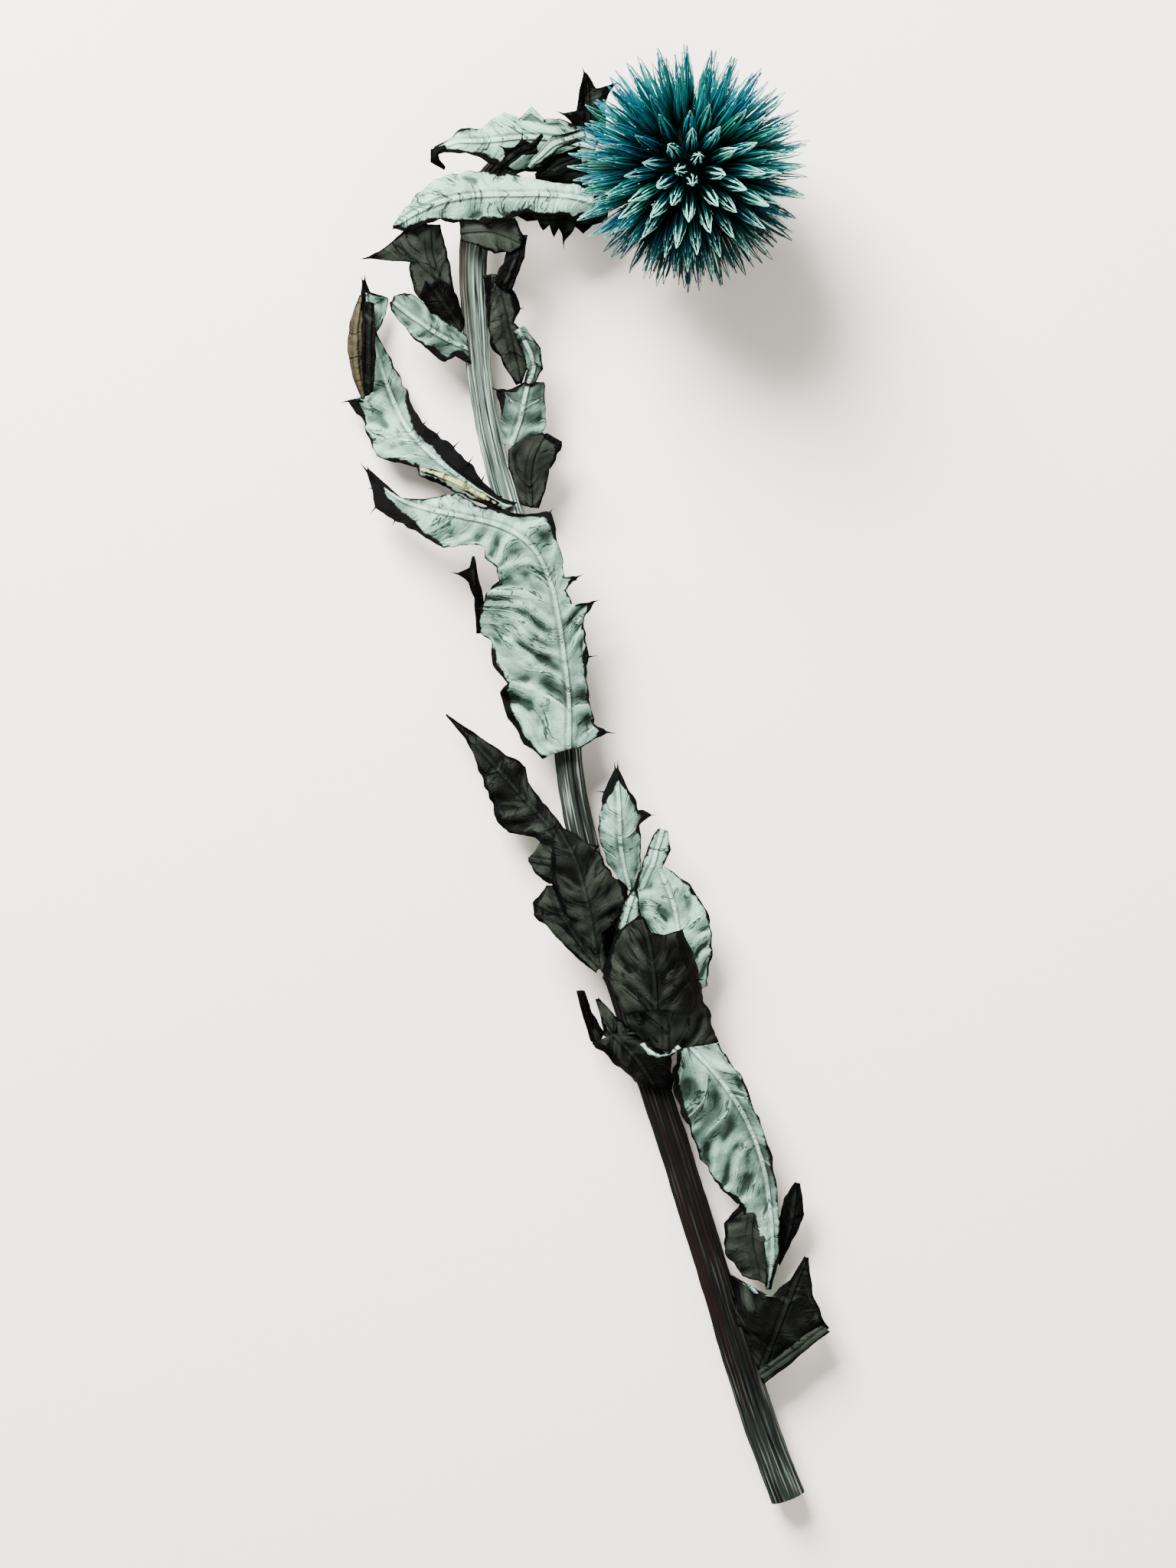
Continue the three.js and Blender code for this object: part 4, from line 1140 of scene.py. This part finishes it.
def noise_of(points, size, shift=0.0):
    """Smooth noise from -1 to 1 at each point of a grid, whose dents are about this many millimetres wide."""
    flat = points.reshape(-1, 3) / size + shift
    return np.array([noise.noise(p) for p in flat.tolist()]).reshape(points.shape[:2])


def blade(sheet, crumple):
    """The middle surface of a sheet as a grid of points in millimetres, and what the shader reads at each."""
    face, wear, droop, midrib, *margins = sheet
    margins = [[(*spot, RIM)[:3] for spot in margin] for margin in margins]
    length = sum(math.dist(a, b) for a, b in zip(midrib, midrib[1:]))
    rows = max(int(length / CELL), max(len(m) for m in margins) + 2, 10)
    rib = smooth_line(midrib, rows)
    run = np.r_[0, np.cumsum(np.linalg.norm(np.diff(rib, axis=0), axis=1))]
    forward = np.gradient(rib[:, :2], axis=0)
    forward /= np.linalg.norm(forward, axis=1)[:, None]
    left = np.stack([-forward[:, 1], forward[:, 0]], axis=1)
    halves = []
    for margin in margins:
        edge = margin_at(rib, margin)
        out = edge[:, :2] - rib[:, :2]
        side = np.sign((out * left).sum(1).mean())
        along_side = (out * left).sum(1) * side
        out += left * (np.maximum(THINNEST_HALF - along_side, 0) * side)[:, None]
        width = np.linalg.norm(out, axis=1)
        columns = max(int(width.max() / CELL), 3)
        t = np.linspace(0, 1, columns + 1)[None, :]
        half = np.empty((rows, columns + 1, 3))
        half[..., :2] = rib[:, None, :2] + out[:, None] * t[..., None]
        half[..., 2] = rib[:, 2:3] - np.minimum(droop * width, DEEPEST_DROOP)[:, None] * t**1.4
        halves.append((side, half, width[:, None] * t, width[:, None] * (1 - t), edge[:, 2:3] + 0 * t))
    halves.sort(key=lambda h: -h[0])
    (_, half, *numbers), (_, other_half, *other_numbers) = halves
    points = np.concatenate([half[:, ::-1], other_half[:, 1:]], axis=1)
    off_rib, to_edge, black = (
        np.concatenate([a[:, ::-1], b[:, 1:]], axis=1) for a, b in zip(numbers, other_numbers)
    )

    # Veins leave the midrib forwards. The blade between them is pleated, and it is folded and crumpled as it dried,
    # in long folds that follow the veins.
    phase = (run[:, None] - VEIN_SLANT * off_rib) / VEIN_SPACING + 0.8 * noise_of(points, BENDS)
    loose = np.clip(off_rib / 2.5, 0.1, 1) * np.clip(to_edge / 0.6, 0.4, 1)
    pleat = np.abs(np.sin(math.pi * phase)) * (1 if face == "dark" else -1)
    in_folds = np.stack([phase * 1.1, off_rib / 7, 0 * phase + length], axis=-1)
    folds = 0.5 - np.abs(noise_of(in_folds, 1.0)) * 2.4
    height = crumple * (
        1.2 * noise_of(points, DENTS, 9.0) + 0.3 * pleat * loose + 0.8 * folds * loose
        + 0.3 * noise_of(points, FINE_DENTS, 3.0)
    )
    hollow = np.clip((blurred(height, 14) - height) / (0.3 * crumple), -1, 1)
    points[..., 2] = np.maximum(points[..., 2] + height, LOWEST)
    margin_push = np.clip(1 - to_edge / 2.5, 0, 1) * np.clip((off_rib + to_edge) / 3, 0.15, 1)
    points[..., 0] += 0.5 * crumple * margin_push * noise_of(points, MARGIN_WAVES, 20.0)
    points[..., 1] += 0.5 * crumple * margin_push * noise_of(points, MARGIN_WAVES, 30.0)
    to_edge = np.minimum(to_edge, np.minimum(run[-1] - run, 99)[:, None] + 0.1)
    return points, {
        "phase": phase, "off_rib": off_rib, "to_edge": to_edge, "black": black, "hollow": hollow,
        "wear": np.full(points.shape[:2], wear),
    }


def shell(points, thickness):
    """A thin closed shell round a grid of points: its points, and the faces above, below and round the rim."""
    rows, columns, _ = points.shape
    normal = np.cross(np.gradient(points, axis=1), np.gradient(points, axis=0))
    normal /= np.linalg.norm(normal, axis=2)[..., None] + 1e-12
    if normal[..., 2].mean() < 0:
        normal = -normal
    number = np.arange(rows * columns).reshape(rows, columns)
    a, b, c, d = number[:-1, :-1], number[:-1, 1:], number[1:, 1:], number[1:, :-1]
    quads = np.stack([a, b, c, d], axis=-1).reshape(-1, 4)
    corner = points.reshape(-1, 3)
    turned = np.cross(corner[quads[:, 1]] - corner[quads[:, 0]], corner[quads[:, 2]] - corner[quads[:, 0]])
    if turned[:, 2].mean() < 0:
        quads = quads[:, ::-1]
    rim = [*number[0, :-1], *number[:-1, -1], *number[-1, :0:-1], *number[:0:-1, 0]]
    if turned[:, 2].mean() < 0:
        rim.reverse()
    under = rows * columns
    rim_faces = [(p, under + p, under + q, q) for p, q in zip(rim, rim[1:] + rim[:1])]
    lift = normal.reshape(-1, 3) * thickness / 2
    both = np.concatenate([corner + lift, corner - lift])
    return both, quads.tolist(), (quads[:, ::-1] + under).tolist(), rim_faces


def spine(foot, direction, length, radius):
    """A sharp four-sided spine: its points and faces."""
    direction = Vector(direction).normalized()
    aside = direction.orthogonal().normalized() * radius
    around = [aside, direction.cross(aside), -aside, -direction.cross(aside)]
    foot = Vector(foot)
    points = [*(foot + a for a in around), foot - direction * radius, foot + direction * length]
    sides = [(i, (i + 1) % 4) for i in range(4)]
    return [tuple(p) for p in points], [(i, j, 5) for i, j in sides] + [(j, i, 4) for i, j in sides]


def leaf_face(name, light, shade, crease_shade, rim, vein, roughness, gloss, hollow_shade):
    """The face of a leaf: its tone and patches take it from its light to its shaded colour. Painted shade takes its
    hollows towards the shaded colour too, and where hollow_shade is below 0 it takes its ridges there instead, as a
    painted highlight; deep hollows, the flanks of its veins, the grooves beside its midrib and its wrinkles go on to
    its crease shade colour, which is also painted shade. Veins and their net show on it, and its rim is dried black."""
    made, new = new_material(name, roughness, gloss)
    hollow, wear, phase, off_rib, reach, to_edge = (
        new("Attribute", attribute_name=attribute, out="Fac")
        for attribute in ("hollow", "wear", "phase", "off_rib", "black", "to_edge")
    )
    where = new("TexCoord", out="Object")
    patch, cloud, grain = (
        new("TexNoise", {"Vector": where, "Scale": per(size), "Detail": detail})
        for size, detail in ((9, 2.0), (3.8, 4.0), (0.67, 3.0))
    )
    net = new("TexVoronoi", {"Vector": where, "Scale": per(0.77)}, feature="DISTANCE_TO_EDGE")

    toned_and_shaded = new("Math", wear, 0.9, new("MapRange", patch, 0.3, 0.7, -0.3, 0.3, **EASED), **TIMES_PLUS)
    toned_and_shaded = new("Math", toned_and_shaded, new("MapRange", cloud, 0.35, 0.7, -0.15, 0.2, **EASED), **PLUS)
    # Painted shade: hollows go towards the shaded colour, and where hollow_shade is below 0 the ridges go there
    # instead, as a painted highlight.
    toned_and_shaded = new("Math", hollow, hollow_shade, toned_and_shaded, **TIMES_PLUS)

    # The side veins are where the phase is a whole number, 0.5 away from where "between" is 0. Painted shade darkens
    # the flanks beside them, and the midrib stands up between two grooves that painted shade darkens.
    between = new("Math", new("Math", phase, operation="FRACT"), 0.5, **LESS)
    between = new("Math", between, operation="ABSOLUTE")
    side_vein, flank_shade = (
        new("Math", new("MapRange", between, *near, **EASED), new("MapRange", *shows, **EASED), **TIMES)
        for near, shows in (((0.45, 0.49), (cloud, 0.4, 0.6)), ((0.36, 0.46), (patch, 0.62, 0.38)))
    )
    midrib, outer, inner = (
        new("MapRange", off_rib, *span, **EASED) for span in ((0.34, 0.16), (0.85, 0.45), (0.42, 0.24))
    )
    groove = new("Math", outer, inner, **LESS)
    fine = new("MapRange", net, 0.07, 0.0, **EASED)

    # Wrinkles: thin lines of painted shade where a noise that is drawn out along the veins crosses its middle value.
    across_veins, along_veins = (new("Math", *pair, **TIMES) for pair in ((phase, 2.6), (off_rib, 0.22)))
    drawn = new("CombineXYZ", across_veins, along_veins, wear)
    wave = new("TexNoise", {"Vector": drawn, "Scale": 1.0, "Detail": 3.0, "Distortion": 0.5})
    off_line = new("Math", new("Math", wave, 0.5, **LESS), operation="ABSOLUTE")
    wrinkle, shows = (
        new("MapRange", *span, **EASED) for span in ((off_line, 0.03, 0.004), (cloud, 0.38, 0.55))
    )
    wrinkle = new("Math", wrinkle, shows, **TIMES)

    # The rim is black as far in as its reach, with a ragged edge.
    ragged = new("Math", grain, 0.7, -0.35, **TIMES_PLUS)
    ragged = new("Math", new("Math", cloud, 0.5, **LESS), 1.6, ragged, **TIMES_PLUS)
    black = new("Math", new("Math", reach, ragged, **PLUS), to_edge, **LESS)

    base = layered(
        new, light,
        (new("MapRange", toned_and_shaded, -0.1, 1.1, **EASED), 1.0, shade),
        # Painted shade: deep hollows, the flanks of the side veins, the grooves beside the midrib and the wrinkles
        # take the crease shade colour.
        (new("MapRange", hollow, 0.3, 1.0, 0.0, 0.8, **EASED), 1.0, crease_shade),
        (flank_shade, 0.35, crease_shade),
        (new("Math", side_vein, midrib, operation="MAXIMUM"), 0.4, vein),
        (new("Math", groove, new("MapRange", cloud, 0.35, 0.6, **EASED), **TIMES), 0.55, crease_shade),
        (fine, 0.12, crease_shade),
        (new("MapRange", wave, 0.48, 0.3, 0.0, 0.5, **EASED), 1.0, shade),
        (wrinkle, 0.9, crease_shade),
        (new("MapRange", black, -0.15, 0.15, **EASED), 1.0, rim),
    )
    relief = new("Math", side_vein, 0.5, **TIMES)
    for height, share in ((midrib, 0.8), (grain, 0.5), (fine, -0.2), (wrinkle, -1.0), (groove, -1.0), (wave, -1.2)):
        relief = new("Math", height, share, relief, **TIMES_PLUS)
    return shaded(made, base, relief, strength=0.7, depth=0.25)


class THISTLE_OT_leaves(bpy.types.Operator):
    """Make the dried leaves: crumpled blades with a felted underside, a dark upper side and a black spiny rim"""

    bl_idname = "thistle.leaves"
    bl_label = "Leaves"

    def execute(self, context):
        settings = context.scene.thistle_leaf
        rim = settings.margin
        looks = {
            # The underside is covered in white woolly felt, which dye and dust turned pale green. It is matt, darker
            # in patches, and darkened in its hollows by painted shade.
            "pale": leaf_face(
                "Felted leaf underside", settings.felt, settings.felt_shade, "#08140f", rim, "#b9d9ca",
                roughness=0.9, gloss=0.08, hollow_shade=0.35,
            ),
            # The upper side is bare skin that dried nearly black. It is a little smoother, greyer in patches, and
            # paler where it stands up, as a painted highlight on its ridges.
            "dark": leaf_face(
                "Dried leaf upper side", settings.upper, settings.upper_grey, "#030303", rim, "#161b17",
                roughness=0.65, gloss=0.03, hollow_shade=-0.45,
            ),
            # An edge that curled over and dried brown: matt and leathery, with weak veins, and with painted shade in
            # its hollows.
            "tan": leaf_face(
                "Tanned leaf edge", "#3f3a2a", "#1c1a11", "#080704", rim, "#4f4a38",
                roughness=0.8, gloss=0.05, hollow_shade=0.3,
            ),
            # An edge that took no dye and was bleached by light: matt and straw-coloured, with painted shade in its
            # hollows.
            "cream": leaf_face(
                "Bleached leaf edge", "#a2a56e", "#4d4e2e", "#1c1c10", rim, "#b4b68c",
                roughness=0.8, gloss=0.05, hollow_shade=0.3,
            ),
        }
        missing = [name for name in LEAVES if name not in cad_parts]
        if missing:
            raise RuntimeError(f"the model has no leaves called {missing}")
        for name, sheets in LEAVES.items():
            piece = self.add_leaf(name, sheets, settings, looks)
            slot = "leaf_underside" if sheets[0][0] == "pale" else "leaf_upper"
            finish_piece(piece, slot, name)
        return {"FINISHED"}

    def add_leaf(self, name, sheets, settings, looks):
        """One leaf, from all its sheets."""
        order = list(looks)
        points, faces, materials = [], [], []
        read = {}
        rng = np.random.default_rng(len(name) * 7 + ord(name[0]))
        for sheet in sheets:
            middle, numbers = blade(sheet, settings.crumple / MM)
            both, above, below, rim = shell(middle, settings.thickness / MM)
            first = len(points)
            points += both.tolist()
            for part, look in ((above, sheet[0]), (below, FACE_BELOW[sheet[0]]), (rim, "dark")):
                faces += [tuple(first + i for i in face) for face in part]
                materials += [order.index(look)] * len(part)
            for key, grid in numbers.items():
                read.setdefault(key, []).extend([*grid.ravel()] * 2)
            for spot in (spot for margin in sheet[4:] for spot in margin if (*spot, RIM)[2] >= SPINY):
                self.add_spine(spot, middle, rng, points, faces, materials, order, read)
        piece_name = name.replace("leaf", "blade") if "leaf" in name else name + "_blade"
        piece = mesh_object(piece_name, [place(*p) for p in points], faces)
        for look in order:
            piece.data.materials.append(looks[look])
        piece.data.polygons.foreach_set("material_index", materials)
        piece.data.shade_smooth()
        for key, values in read.items():
            attribute = piece.data.attributes.new(key, "FLOAT", "POINT")
            attribute.data.foreach_set("value", values)
        return piece

    def add_spine(self, spot, middle, rng, points, faces, materials, order, read):
        """A spine where the margin is black: it points out from the middle of the blade nearby."""
        flat = middle.reshape(-1, 3)
        distance = np.linalg.norm(flat[:, :2] - np.array(spot[:2]), axis=1)
        near = flat[distance.argmin()]
        centre = flat[distance < SPINE_REACH].mean(0)
        out = near - centre
        out[2] = 0.25 * np.linalg.norm(out[:2]) * rng.uniform(-1, 1)
        direction = out / (np.linalg.norm(out) + 1e-9)
        foot = near - direction * SPINE_ROOT
        added, sides = spine(foot, direction, rng.uniform(*SPINE_LENGTHS), SPINE_RADIUS)
        first = len(points)
        points += [(x, y, max(z, LOWEST)) for x, y, z in added]
        faces += [tuple(first + i for i in face) for face in sides]
        materials += [order.index("dark")] * len(sides)
        for key, values in read.items():
            values.extend([9.0 if key == "black" else 0.0] * len(added))


# ------------------------------------------------------------------ the panel, and running it all

class THISTLE_PT_panel(bpy.types.Panel):
    """Settings of the thistle, and a button for each group of its pieces"""

    bl_idname = "THISTLE_PT_panel"
    bl_label = "Globe thistle"
    bl_space_type = "VIEW_3D"
    bl_region_type = "UI"
    bl_category = "Thistle"

    def draw(self, context):
        for name, operators in STEPS.items():
            box = self.layout.box()
            settings = getattr(context.scene, name)
            for label in settings.__annotations__:
                box.prop(settings, label)
            for operator in operators:
                box.operator(operator)


SETTINGS = {
    "thistle_stage": ThistleStageSettings,
    "thistle_head": ThistleHeadSettings,
    "thistle_stem": ThistleStemSettings,
    "thistle_leaf": ThistleLeafSettings,
}
STEPS = {
    "thistle_stage": ["thistle.stage"],
    "thistle_head": ["thistle.florets"],
    "thistle_stem": ["thistle.stem"],
    "thistle_leaf": ["thistle.leaves"],
}
CLASSES = (
    *SETTINGS.values(), THISTLE_OT_stage, THISTLE_OT_florets, THISTLE_OT_stem, THISTLE_OT_leaves, THISTLE_PT_panel,
)


def register():
    for cls in CLASSES:
        bpy.utils.register_class(cls)
    for name, settings in SETTINGS.items():
        setattr(bpy.types.Scene, name, PointerProperty(type=settings))


def unregister():
    for name in SETTINGS:
        delattr(bpy.types.Scene, name)
    for cls in reversed(CLASSES):
        bpy.utils.unregister_class(cls)


def main():
    register()
    for operators in STEPS.values():
        for operator in operators:
            group, action = operator.split(".")
            getattr(getattr(bpy.ops, group), action)()


if __name__ == "__main__":
    main()
